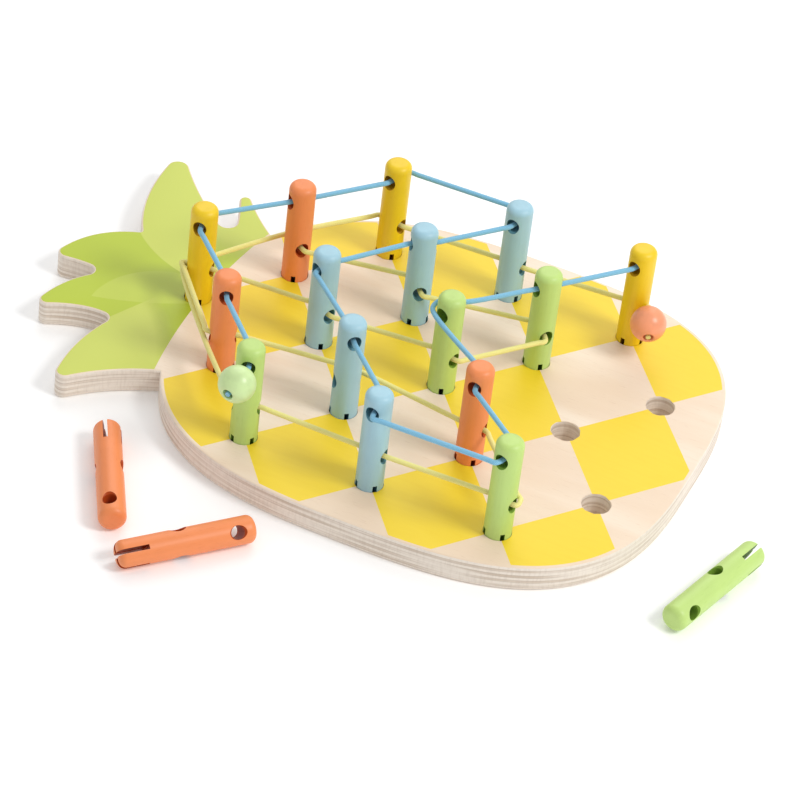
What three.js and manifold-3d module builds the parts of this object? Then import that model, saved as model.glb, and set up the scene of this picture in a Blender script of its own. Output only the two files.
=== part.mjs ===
// Pineapple lacing peg board: a plywood board cut to a pineapple, eighteen wooden pegs, two laces
// threaded through the pegs' cross holes, and a ball bead on one end of each lace.
//
// Units are millimetres and +Z is up. The origin is on the board's underside, below the centre hole.
// +X runs along the pineapple from its crown to the foot of the fruit, and +Y runs across it.

import * as THREE from 'three';
import * as BufferGeometryUtils from 'three/addons/utils/BufferGeometryUtils.js';
import Module from 'manifold-3d';

// ---- Driving dimensions ---------------------------------------------------------------------

// Hole pattern: holes stand where (row + column) is even, so they form diamonds.
const ALONG_STEP = 29.4; // between rows, along the pineapple
const ACROSS_STEP = 37; // between columns, across the pineapple
const LAST_ROW = 3; // the last row of holes, towards the foot of the fruit
const LAST_COLUMN = 2; // the outermost column of holes, on both sides

// Board
const BOARD_THICKNESS = 12;
const BOARD_EDGE_ROUND = 1;
const END_MARGIN = 28.3; // from the last row of holes to the foot of the fruit
const SIDE_MARGIN = 29.2; // from the outermost column of holes to the side of the fruit, on average
const FRUIT_SHIFT = 1.7; // how far the fruit's middle line is from the middle column of holes
// How square each quarter of the fruit is: 2 would be an ellipse, and a larger power is squarer.
const FOOT_HIGH_POWER = 3.2; // towards the foot, on the +Y side
const FOOT_LOW_POWER = 2.95;
const CROWN_HIGH_POWER = 2.65;
const CROWN_LOW_POWER = 2.8;
const FRUIT_STEPS = 64; // straight lengths that a whole turn of the fruit's outline would have

// Pegs
const PEG_DIAMETER = 12;
const PEG_LENGTH = 60;
const PEG_END_ROUND = 3;
const PEG_SEAT = 10; // how deep a peg stands in the board
const CROSS_HOLE_DIAMETER = 6;
const UPPER_HOLE_DROP = 8.5; // from the top end of a peg down to its upper cross hole
const LOWER_HOLE_DROP = 32.5; // and down to its lower cross hole, at a right angle to the upper one
const SLOT_WIDTH = 2; // two crossed saw cuts split the bottom end of a peg into four prongs
const SLOT_LENGTH = 13;

// Laces and beads
const LACE_DIAMETER = 2.2;
const BEAD_DIAMETER = 16;
const BEAD_BORE_DIAMETER = 4.6;

// Clearances
const PEG_SIDE_CLEARANCE = 0.35; // between a peg and the side of its hole
const PEG_END_CLEARANCE = 0.3; // between a peg's bottom end and the floor of its hole
const BEAD_CLEARANCE = 1; // between a bead and the peg that it hangs against
const LACE_CLEARANCE = 0.7; // between a lace and the peg that it bends round

// Facets
const PEG_SIDES = 20;
const HOLE_SIDES = 20;
const CROSS_HOLE_SIDES = 12;
const ROUNDING_STEPS = 2;
const BEAD_SIDES = 18;
const LACE_SIDES = 8;

// Sizes that follow from the ones above
const PEG_RADIUS = PEG_DIAMETER / 2;
const LACE_RADIUS = LACE_DIAMETER / 2;
const BEAD_RADIUS = BEAD_DIAMETER / 2;
const HALF_LENGTH = LAST_ROW * ALONG_STEP + END_MARGIN;
const HALF_WIDTH = LAST_COLUMN * ACROSS_STEP + SIDE_MARGIN;
const LOW_SIDE = FRUIT_SHIFT - HALF_WIDTH; // the side of the fruit towards -Y
const PEG_FOOT = BOARD_THICKNESS - PEG_SEAT;
const PEG_TOP = PEG_FOOT + PEG_LENGTH;
const UPPER_LEVEL = PEG_TOP - UPPER_HOLE_DROP;
const LOWER_LEVEL = PEG_TOP - LOWER_HOLE_DROP;
const THROUGH = 2; // how far a cutting tool runs past what it cuts

const COLOURS = {
  board: 0xeccfa8,
  yellow: 0xdcb216,
  orange: 0xe0783a,
  blue: 0x9dc0c4,
  green: 0xa9cb62,
  blueLace: 0x86bcd8,
  yellowLace: 0xefe087,
  greenBead: 0xb9dc8a,
  orangeBead: 0xee8c62,
};

// ---- Pegs: where each one stands, and how it is turned --------------------------------------
// row and column count steps from the centre hole. turn is the direction of the upper cross hole's
// front mouth, and slot is the direction of one saw cut, both in degrees from +X.

const STANDING_PEGS = {
  yellow_peg_1: { row: -4, column: 0, turn: -85, slot: -60, colour: 'yellow' },
  orange_peg_1: { row: -3, column: 1, turn: -133, slot: -72, colour: 'orange' },
  yellow_peg_2: { row: -2, column: 2, turn: -106, slot: -54, colour: 'yellow' },
  blue_peg_1: { row: 0, column: 2, turn: -96, slot: -122, colour: 'blue' },
  orange_peg_2: { row: -3, column: -1, turn: -66, slot: -86, colour: 'orange' },
  blue_peg_2: { row: -2, column: 0, turn: -116, slot: -56, colour: 'blue' },
  blue_peg_3: { row: -1, column: 1, turn: -148, slot: -90, colour: 'blue' },
  green_peg_1: { row: 1, column: 1, turn: -132, slot: -52, colour: 'green' },
  yellow_peg_3: { row: 2, column: 2, turn: -108, slot: -102, colour: 'yellow' },
  green_peg_2: { row: -2, column: -2, turn: -74, slot: -118, colour: 'green' },
  blue_peg_4: { row: -1, column: -1, turn: -53, slot: -53, colour: 'blue' },
  green_peg_3: { row: 0, column: 0, turn: -110, slot: -67, colour: 'green' },
  blue_peg_5: { row: 0, column: -2, turn: -94, slot: -44, colour: 'blue' },
  orange_peg_3: { row: 1, column: -1, turn: -89, slot: -49, colour: 'orange' },
  green_peg_4: { row: 2, column: -2, turn: -101, slot: -48, colour: 'green' },
};

const EMPTY_HOLES = [
  { row: 2, column: 0 },
  { row: 3, column: 1 },
  { row: 3, column: -1 },
];

// Pegs lying beside the board. x and y are measured outwards from the fruit's foot or crown end and
// from its side; heading is where the top end points, and roll turns the peg about its own length.
const LOOSE_PEGS = {
  loose_orange_peg_1: {
    x: -HALF_LENGTH + 17.6, y: LOW_SIDE - 16.8, heading: -60, roll: 12, slot: 13, colour: 'orange',
  },
  loose_orange_peg_2: {
    x: -HALF_LENGTH + 64, y: LOW_SIDE - 38.3, heading: 47, roll: 53, slot: 36, colour: 'orange',
  },
  loose_green_peg: {
    x: HALF_LENGTH + 31.8, y: LOW_SIDE + 49.2, heading: -105, roll: -68, slot: -20, colour: 'green',
  },
};

// ---- Small tools ----------------------------------------------------------------------------

const wasm = await Module();
wasm.setup();

const radians = (degrees) => (degrees * Math.PI) / 180;
const heading = (degrees) => new THREE.Vector3(Math.cos(radians(degrees)), Math.sin(radians(degrees)), 0);
const standing = (peg) => new THREE.Vector3(peg.row * ALONG_STEP, peg.column * ACROSS_STEP, 0);

/** A closed three.js geometry as a manifold-3d solid. */
function solid(geometry) {
  const bare = geometry.clone();
  bare.deleteAttribute('normal');
  bare.deleteAttribute('uv');
  const merged = BufferGeometryUtils.mergeVertices(bare, 1e-5);
  return new wasm.Manifold(
    new wasm.Mesh({
      numProp: 3,
      vertProperties: new Float32Array(merged.attributes.position.array),
      triVerts: new Uint32Array(merged.index.array),
    }),
  );
}

/** A manifold-3d solid as a three.js geometry. */
function geometryOf(body) {
  const mesh = body.getMesh();
  const geometry = new THREE.BufferGeometry();
  geometry.setAttribute('position', new THREE.Float32BufferAttribute(mesh.vertProperties, 3));
  geometry.setIndex(new THREE.Uint32BufferAttribute(mesh.triVerts, 1));
  geometry.computeVertexNormals();
  return geometry;
}

/** Cuts every tool away from a body. */
function cut(body, tools) {
  return tools.reduce((rest, tool) => rest.subtract(solid(tool)), solid(body));
}

/** A round bar along Z, centred on the origin. */
function bar(diameter, length, sides) {
  return new THREE.CylinderGeometry(diameter / 2, diameter / 2, length, sides).rotateX(Math.PI / 2);
}

/** A round bar along a direction in the XY plane, centred on (0, 0, z). */
function crossBar(diameter, length, sides, degrees, z) {
  return new THREE.CylinderGeometry(diameter / 2, diameter / 2, length, sides)
    .rotateZ(radians(degrees - 90))
    .translate(0, 0, z);
}

/** A flat plate through the axis, standing on the XY plane and running along a direction. */
function sawCut(degrees) {
  return new THREE.BoxGeometry(PEG_DIAMETER + THROUGH, SLOT_WIDTH, SLOT_LENGTH + THROUGH)
    .translate(0, 0, (SLOT_LENGTH - THROUGH) / 2)
    .rotateZ(radians(degrees));
}

function mesh(name, geometry, colour) {
  const material = new THREE.MeshStandardMaterial({
    color: COLOURS[colour],
    roughness: colour.endsWith('Lace') ? 0.85 : 0.5,
    metalness: 0,
  });
  const made = new THREE.Mesh(geometry, material);
  made.name = name;
  return made;
}

// ---- Board ----------------------------------------------------------------------------------

/** The power of the quarter of the fruit that a direction from its middle lies in. */
function quarterPower(towardsFoot, towardsHigh) {
  if (towardsFoot) return towardsHigh ? FOOT_HIGH_POWER : FOOT_LOW_POWER;
  return towardsHigh ? CROWN_HIGH_POWER : CROWN_LOW_POWER;
}

/** The fruit's outline at an angle: an ellipse, with each quarter squared off by its own power. */
function fruitPoint(angle) {
  const [along, across] = [Math.cos(angle), Math.sin(angle)];
  const power = quarterPower(along > 0, across > 0);
  const squared = (part) => Math.sign(part) * Math.abs(part) ** (2 / power);
  return new THREE.Vector2(HALF_LENGTH * squared(along), FRUIT_SHIFT + HALF_WIDTH * squared(across));
}

/** The angle at which the crown end of the fruit's outline is at y. */
function crownEndAngle(y) {
  const reach = (y - FRUIT_SHIFT) / HALF_WIDTH;
  const power = quarterPower(false, reach > 0);
  return Math.PI - Math.asin(Math.abs(reach) ** (power / 2)) * Math.sign(reach);
}

// The crown: leaf tips and the notches between them, in order from the side at -Y round to +Y. Each
// is a circle, with x measured outwards from the fruit's crown end and a negative radius at a notch.
// The side before it is a curve bent towards (viaX, viaY), and meets the circle smoothly.
const CROWN_ROOT_LOW = -54;
const CROWN_ROOT_HIGH = 56;
const CROWN = [
  { viaX: -11, viaY: -62.5, x: -27.3, y: -75, radius: 4 }, // first leaf's tip
  { viaX: -34.5, viaY: -55, x: -31.5, y: -35, radius: -3.6 },
  { viaX: -41.5, viaY: -30.5, x: -57.1, y: -35.3, radius: 3.6 }, // second leaf's tip
  { viaX: -58, viaY: -20, x: -52.5, y: -8.3, radius: -3.6 },
  { viaX: -57.5, viaY: -4.5, x: -65.3, y: -1.2, radius: 4.3 }, // third leaf's tip
  { viaX: -64, viaY: 20, x: -45.3, y: 29.2, radius: -1 },
  { viaX: -57, viaY: 50, x: -51.8, y: 80.3, radius: 5.2 }, // fourth leaf's tip
  { viaX: -34.5, viaY: 66.5, x: -14.3, y: 55.8, radius: -4.3 },
  { viaX: -12.5, viaY: 64, x: -14.3, y: 74.3, radius: 2.8 }, // fifth leaf's tip
];
const LAST_VIA = { viaX: -3, viaY: 65 };
const CROWN_SIDE_STEPS = 5;
const ARC_STEP = 36; // degrees of a leaf tip's or notch's circle to each straight length

/** Where the straight line from a point to or from (way 1 or -1) a circle touches it. */
function tangentPoint(via, centre, radius, way) {
  const reach = centre.clone().sub(via);
  const lean = way * Math.asin(radius / reach.length());
  const along = reach.clone().normalize().rotateAround(new THREE.Vector2(), lean);
  return via.clone().addScaledVector(along, Math.sqrt(reach.lengthSq() - radius ** 2));
}

/** The points between two points of a circle, clockwise round a tip and the other way round a notch. */
function arcPoints(start, centre, end, radius) {
  const turn = radius > 0 ? -1 : 1;
  const angle = (point) => Math.atan2(point.y - centre.y, point.x - centre.x);
  const full = 2 * Math.PI;
  const sweep = ((((angle(end) - angle(start)) * turn) % full) + full) % full;
  const steps = Math.max(2, Math.round(sweep / radians(ARC_STEP)));
  return Array.from({ length: steps - 1 }, (_, n) =>
    start.clone().rotateAround(centre, (turn * sweep * (n + 1)) / steps),
  );
}

/** The board's outline: the fruit's, opened at the crown end and closed by the crown's leaves. */
function boardOutline() {
  const from = crownEndAngle(CROWN_ROOT_LOW) - 2 * Math.PI;
  const to = crownEndAngle(CROWN_ROOT_HIGH);
  const steps = Math.round((FRUIT_STEPS * (to - from)) / (2 * Math.PI));
  const fruit = Array.from({ length: steps + 1 }, (_, n) => fruitPoint(from + ((to - from) * n) / steps));

  const outwards = (x, y) => new THREE.Vector2(x - HALF_LENGTH, y);
  const vias = [...CROWN, LAST_VIA].map((corner) => outwards(corner.viaX, corner.viaY));
  const side = (start, via, end) =>
    new THREE.QuadraticBezierCurve(start, via, end).getPoints(CROWN_SIDE_STEPS).slice(1);
  const crown = [];
  let here = fruit[0];
  CROWN.forEach((corner, n) => {
    const centre = outwards(corner.x, corner.y);
    const enter = tangentPoint(vias[n], centre, corner.radius, 1);
    const leave = tangentPoint(vias[n + 1], centre, corner.radius, -1);
    crown.push(...side(here, vias[n], enter), ...arcPoints(enter, centre, leave, corner.radius), leave);
    here = leave;
  });
  crown.push(...side(here, vias.at(-1), fruit.at(-1)).slice(0, -1));
  return new THREE.Shape([...fruit, ...crown.reverse()]);
}

function board() {
  const blank = new THREE.ExtrudeGeometry(boardOutline(), {
    depth: BOARD_THICKNESS - 2 * BOARD_EDGE_ROUND,
    bevelEnabled: true,
    bevelThickness: BOARD_EDGE_ROUND,
    bevelSize: BOARD_EDGE_ROUND,
    bevelOffset: -BOARD_EDGE_ROUND,
    bevelSegments: ROUNDING_STEPS,
  }).translate(0, 0, BOARD_EDGE_ROUND);
  const floor = PEG_FOOT - PEG_END_CLEARANCE;
  const depth = BOARD_THICKNESS - floor;
  const holes = [...Object.values(STANDING_PEGS), ...EMPTY_HOLES].map((place) => {
    const at = standing(place);
    return bar(PEG_DIAMETER + 2 * PEG_SIDE_CLEARANCE, depth + THROUGH, HOLE_SIDES)
      .translate(at.x, at.y, floor + (depth + THROUGH) / 2);
  });
  return mesh('pineapple_board', geometryOf(cut(blank, holes)), 'board');
}

// ---- Pegs -----------------------------------------------------------------------------------

/** A peg standing on the origin, with its upper cross hole along X. */
function pegGeometry(slotTurn) {
  const corner = (height, up, n) => {
    const angle = (Math.PI / 2) * (n / ROUNDING_STEPS);
    return new THREE.Vector2(
      PEG_RADIUS - PEG_END_ROUND + PEG_END_ROUND * Math.sin(angle),
      height - up * PEG_END_ROUND * (1 - Math.cos(angle)),
    );
  };
  const profile = [new THREE.Vector2(0, 0)];
  for (let n = 0; n <= ROUNDING_STEPS; n += 1) profile.push(corner(0, -1, n));
  for (let n = ROUNDING_STEPS; n >= 0; n -= 1) profile.push(corner(PEG_LENGTH, 1, n));
  profile.push(new THREE.Vector2(0, PEG_LENGTH));
  const blank = new THREE.LatheGeometry(profile, PEG_SIDES).rotateX(Math.PI / 2);
  const across = PEG_DIAMETER + 2 * THROUGH;
  return geometryOf(
    cut(blank, [
      crossBar(CROSS_HOLE_DIAMETER, across, CROSS_HOLE_SIDES, 0, PEG_LENGTH - UPPER_HOLE_DROP),
      crossBar(CROSS_HOLE_DIAMETER, across, CROSS_HOLE_SIDES, 90, PEG_LENGTH - LOWER_HOLE_DROP),
      sawCut(slotTurn),
      sawCut(slotTurn + 90),
    ]),
  );
}

function standingPeg([name, peg]) {
  const made = mesh(name, pegGeometry(peg.slot - peg.turn), peg.colour);
  made.position.copy(standing(peg)).setZ(PEG_FOOT);
  made.rotation.z = radians(peg.turn);
  return made;
}

/** A peg lying on the surface that the board stands on. */
function loosePeg([name, peg]) {
  const made = mesh(name, pegGeometry(peg.slot - peg.roll), peg.colour);
  made.rotation.z = radians(peg.roll);
  made.position.z = -PEG_LENGTH / 2;
  const lying = new THREE.Group();
  const up = new THREE.Vector3(0, 0, 1);
  const along = heading(peg.heading);
  lying.quaternion.setFromRotationMatrix(
    new THREE.Matrix4().makeBasis(up, new THREE.Vector3().crossVectors(along, up), along),
  );
  lying.position.set(peg.x, peg.y, PEG_RADIUS);
  lying.add(made);
  return lying;
}

// ---- Beads ----------------------------------------------------------------------------------
// A bead hangs against a peg, beside a cross hole's mouth. side is the direction from the peg to
// the bead, and drop is how far it hangs below the cross hole. bore is the outward direction of its
// hole, and exit is how far past the hole's inner mouth the lace runs straight.

const BEADS = {
  green_bead: {
    peg: 'green_peg_2', level: UPPER_LEVEL, side: -85, drop: 1.7,
    bore: new THREE.Vector3(-0.1, -0.985, -0.1), exit: -1.5, colour: 'greenBead',
  },
  orange_bead: {
    peg: 'yellow_peg_3', level: LOWER_LEVEL, side: -46, drop: -2.2,
    bore: new THREE.Vector3(0.38, -0.88, -0.29), exit: 1, colour: 'orangeBead',
  },
};

function beadCentre(bead) {
  const reach = PEG_RADIUS + BEAD_CLEARANCE + BEAD_RADIUS;
  return standing(STANDING_PEGS[bead.peg])
    .add(heading(bead.side).multiplyScalar(reach))
    .setZ(bead.level - bead.drop);
}

function beadMesh([name, bead]) {
  const ball = new THREE.SphereGeometry(BEAD_RADIUS, BEAD_SIDES, BEAD_SIDES / 2 + 1).rotateX(Math.PI / 2);
  const bored = cut(ball, [bar(BEAD_BORE_DIAMETER, BEAD_DIAMETER + THROUGH, CROSS_HOLE_SIDES)]);
  const made = mesh(name, geometryOf(bored), bead.colour);
  made.quaternion.setFromUnitVectors(new THREE.Vector3(0, 0, 1), bead.bore.clone().normalize());
  made.position.copy(beadCentre(bead));
  return made;
}

// ---- Laces ----------------------------------------------------------------------------------
// A lace's route is a list of stops. through: goes in at the mouth that faces `from` and out at the
// other. round: passes outside a peg, touching it over the listed directions. sink is how far below
// the cross hole's level the lace lies there.

const LACES = {
  blue_lace: {
    colour: 'blueLace', bead: 'green_bead', level: UPPER_LEVEL,
    stops: [
      { through: 'green_peg_2', from: -74 },
      { through: 'orange_peg_2', from: -66 },
      { through: 'yellow_peg_1', from: -85 },
      { through: 'orange_peg_1', from: -133 },
      { through: 'yellow_peg_2', from: -106 },
      { through: 'blue_peg_1', from: 84 },
      { through: 'blue_peg_3', from: 32 },
      { through: 'blue_peg_2', from: 64 },
      { through: 'blue_peg_4', from: 127 },
      { through: 'blue_peg_5', from: 86 },
      { through: 'green_peg_4', from: -101 },
      { through: 'orange_peg_3', from: -89 },
      { round: 'green_peg_3', over: [-125, -165, 155, 115, 80], sink: 0 },
      { through: 'green_peg_1', from: -132 },
      { through: 'yellow_peg_3', from: -108 },
    ],
  },
  yellow_lace: {
    colour: 'yellowLace', bead: 'orange_bead', level: LOWER_LEVEL,
    stops: [
      { through: 'yellow_peg_3', from: -18, sink: -0.8 },
      { through: 'blue_peg_1', from: -6 },
      { through: 'yellow_peg_2', from: -16 },
      { round: 'orange_peg_1', over: [140], sink: 0 },
      { round: 'yellow_peg_1', over: [120, 152, 185, 215], sink: 2.8 },
      { round: 'orange_peg_2', over: [215], sink: 2.8 },
      { through: 'green_peg_2', from: 196 },
      { through: 'blue_peg_5', from: 176 },
      { through: 'green_peg_4', from: 169 },
      { round: 'green_peg_4', over: [30, 65], sink: 0 },
      { through: 'orange_peg_3', from: 1 },
      { round: 'blue_peg_4', over: [75, 105], sink: 0 },
      { through: 'orange_peg_2', from: 24 },
      { through: 'yellow_peg_1', from: 185 },
      { through: 'blue_peg_2', from: 154 },
      { through: 'green_peg_3', from: 160 },
      { through: 'green_peg_1', from: -42 },
      { through: 'blue_peg_3', from: -58 },
      { through: 'orange_peg_1', from: -43 },
    ],
  },
};

const WRAP_REACH = PEG_RADIUS + LACE_RADIUS + LACE_CLEARANCE;
const BEAD_INSET = 0.5; // from a bead's outer mouth in to the end of its lace
const RIM_REACH = PEG_RADIUS + 0.4; // where a lace that runs straight on leaves the mouth of its hole
const RIM_LIFT = 1.2; // how much further out it is where it turns back at a right angle
const RIM_SHIFT = 1.5; // how far it can move across the mouth, towards where it goes next
const END_INSIDE = 2; // how far past its last peg's axis a lace ends, inside the hole
const LEAVE = 4; // how far past the mouth it is on its straight way

/** The point at a hole's mouth where a lace turns towards somewhere else. */
function rimPoint(at, out, towards) {
  const away = towards.clone().sub(at).setZ(0).normalize();
  const turn = out.angleTo(away);
  const across = away.clone().addScaledVector(out, -away.dot(out)).normalize();
  return at
    .clone()
    .addScaledVector(out, RIM_REACH + RIM_LIFT * (1 - Math.cos(turn)))
    .addScaledVector(across, RIM_SHIFT * Math.sin(Math.min(turn, Math.PI / 2)));
}

/** The middle of a stop: the peg's axis, at the level of the lace. */
function stopMiddle(stop, level) {
  return standing(STANDING_PEGS[stop.through ?? stop.round]).setZ(level - (stop.sink ?? 0));
}

/** The points of each stop. Those of a peg that the lace goes through are its two rims and its middle. */
function stopRuns(lace) {
  const middles = lace.stops.map((stop) => stopMiddle(stop, lace.level));
  const wraps = lace.stops.map((stop, n) =>
    (stop.over ?? []).map((degrees) => middles[n].clone().addScaledVector(heading(degrees), WRAP_REACH)),
  );
  return lace.stops.map((stop, n) => {
    if (stop.round) return wraps[n];
    const out = heading(stop.from);
    const before = wraps[n - 1]?.at(-1) ?? middles[n - 1];
    const after = wraps[n + 1]?.at(0) ?? middles[n + 1];
    const run = [middles[n]];
    if (before) run.unshift(rimPoint(middles[n], out, before));
    if (after) run.push(rimPoint(middles[n], out.clone().negate(), after));
    return run;
  });
}

/** Joins the stops, with a point on the straight way a little past each rim. */
function joined(stops, runs) {
  const points = [];
  const past = (rim, next) => rim.clone().addScaledVector(next.clone().sub(rim).normalize(), LEAVE);
  runs.forEach((run, n) => {
    if (stops[n].through && n > 0) points.push(past(run[0], runs[n - 1].at(-1)));
    points.push(...run);
    if (stops[n].through && n < runs.length - 1) points.push(past(run.at(-1), runs[n + 1][0]));
  });
  return points;
}

function lacePoints(lace) {
  const bead = BEADS[lace.bead];
  const centre = beadCentre(bead);
  const bore = bead.bore.clone().normalize();
  const inBead = [BEAD_RADIUS - BEAD_INSET, -BEAD_RADIUS - bead.exit].map((reach) =>
    centre.clone().addScaledVector(bore, reach),
  );
  const first = lace.stops[0];
  const mouth = stopMiddle(first, lace.level)
    .addScaledVector(heading(first.from), RIM_REACH + LACE_CLEARANCE);
  const points = [...inBead, mouth, ...joined(lace.stops, stopRuns(lace))];
  const end = points.at(-1);
  const last = end.clone().sub(points.at(-2)).normalize();
  points.push(end.clone().addScaledVector(last, END_INSIDE));
  return points;
}

/** A smooth curve whose even steps fall on its own points. */
class StopCurve extends THREE.CatmullRomCurve3 {
  getPointAt(share, target) {
    return this.getPoint(share, target);
  }

  getTangentAt(share, target) {
    return this.getTangent(share, target);
  }
}

function laceMesh([name, lace]) {
  const points = lacePoints(lace);
  const section = new THREE.Shape(
    Array.from({ length: LACE_SIDES }, (_, n) => {
      const angle = (2 * Math.PI * n) / LACE_SIDES;
      return new THREE.Vector2(LACE_RADIUS * Math.cos(angle), LACE_RADIUS * Math.sin(angle));
    }),
  );
  const tube = new THREE.ExtrudeGeometry(section, {
    steps: points.length - 1,
    extrudePath: new StopCurve(points, false, 'centripetal'),
  });
  return mesh(name, geometryOf(solid(tube)), lace.colour);
}

// ---- Assembly -------------------------------------------------------------------------------

const toy = new THREE.Group();
toy.add(board());
toy.add(...Object.entries(STANDING_PEGS).map(standingPeg));
toy.add(...Object.entries(LOOSE_PEGS).map(loosePeg));
toy.add(...Object.entries(BEADS).map(beadMesh));
toy.add(...Object.entries(LACES).map(laceMesh));

export default toy;
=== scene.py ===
"""Looks of a pineapple lacing peg board: printed plywood board, stained pegs, braided laces, beads.

All sizes are in metres. +X runs from the pineapple's crown to the foot of its fruit, +Y across it
and +Z up, with the origin on the board's underside below the middle hole.
"""

import logging
import math
from dataclasses import dataclass, field
from enum import Enum
from typing import Iterable, Sequence

import bpy
from mathutils import Matrix, Vector
from mathutils.geometry import delaunay_2d_cdt


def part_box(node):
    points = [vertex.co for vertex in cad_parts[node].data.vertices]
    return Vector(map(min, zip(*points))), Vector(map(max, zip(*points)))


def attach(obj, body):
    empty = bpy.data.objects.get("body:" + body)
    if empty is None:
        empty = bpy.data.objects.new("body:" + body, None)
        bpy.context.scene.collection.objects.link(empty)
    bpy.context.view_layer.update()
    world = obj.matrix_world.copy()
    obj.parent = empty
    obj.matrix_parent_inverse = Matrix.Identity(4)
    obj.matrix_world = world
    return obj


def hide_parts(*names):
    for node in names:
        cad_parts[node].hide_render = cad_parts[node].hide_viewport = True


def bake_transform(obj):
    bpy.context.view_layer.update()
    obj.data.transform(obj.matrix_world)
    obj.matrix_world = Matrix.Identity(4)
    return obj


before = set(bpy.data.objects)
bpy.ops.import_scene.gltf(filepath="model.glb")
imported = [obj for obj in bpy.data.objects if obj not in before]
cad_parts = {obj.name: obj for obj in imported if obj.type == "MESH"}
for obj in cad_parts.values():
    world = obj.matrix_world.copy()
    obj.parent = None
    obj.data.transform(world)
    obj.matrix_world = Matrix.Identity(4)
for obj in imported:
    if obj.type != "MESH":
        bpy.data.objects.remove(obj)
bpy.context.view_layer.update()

LOG = logging.getLogger("pineapple")
MM = 0.001

# ---- Sizes that several pieces share ------------------------------------------------------------

ALONG_STEP = 29.4 * MM
ACROSS_STEP = 37 * MM
BOARD_THICKNESS = 12 * MM
HALF_LENGTH = 3 * ALONG_STEP + 28.3 * MM
HALF_WIDTH = 2 * ACROSS_STEP + 29.2 * MM
FRUIT_SHIFT = 1.7 * MM
# How square each quarter of the fruit is, by whether it is towards the foot and towards +Y.
QUARTER_POWERS = {(True, True): 3.2, (True, False): 2.95, (False, True): 2.65, (False, False): 2.8}
PEG_RADIUS = 6 * MM
PEG_LENGTH = 60 * MM
PEG_SEAT = 10 * MM
PEG_FOOT = BOARD_THICKNESS - PEG_SEAT
PEG_TOP = PEG_FOOT + PEG_LENGTH
UPPER_HOLE_DROP = 8.5 * MM
LOWER_HOLE_DROP = 32.5 * MM
UPPER_LEVEL = PEG_TOP - UPPER_HOLE_DROP
LOWER_LEVEL = PEG_TOP - LOWER_HOLE_DROP
LACE_RADIUS = 1.1 * MM
BEAD_RADIUS = 8 * MM

Place = tuple[float, float]  # a point in the board's plane, in millimetres
Disc = tuple[float, float, float]  # a disc in that plane: its centre's x and y, and its radius
Corner = tuple[float, float, float]  # a mesh's point, in metres
Colour = tuple[float, ...]  # red, green, blue and an alpha of 1, in linear light


def linear(code: str) -> Colour:
    """Turns a colour written as six hexadecimal digits into linear light.

    Args:
        code: Red, green and blue as two digits each.

    Returns:
        Red, green, blue and an alpha of 1.
    """
    parts = [int(code[n : n + 2], 16) / 255 for n in (0, 2, 4)]
    light = [p / 12.92 if p <= 0.04045 else ((p + 0.055) / 1.055) ** 2.4 for p in parts]
    return (*light, 1.0)


def dimmed(code: str, share: float, gamma: float = 1.0) -> Colour:
    """A colour with less light: each part is raised to a power, and then multiplied by a share."""
    return (*(share * part**gamma for part in linear(code)[:3]), 1.0)


def heading(degrees: float) -> Vector:
    """A level unit vector, that many degrees round from +X."""
    return Vector((math.cos(math.radians(degrees)), math.sin(math.radians(degrees)), 0))


def about_z(degrees: float) -> Matrix:
    """A turn about Z, counter-clockwise from above."""
    return Matrix.Rotation(math.radians(degrees), 4, "Z")


# ---- Shader building ----------------------------------------------------------------------------


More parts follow.
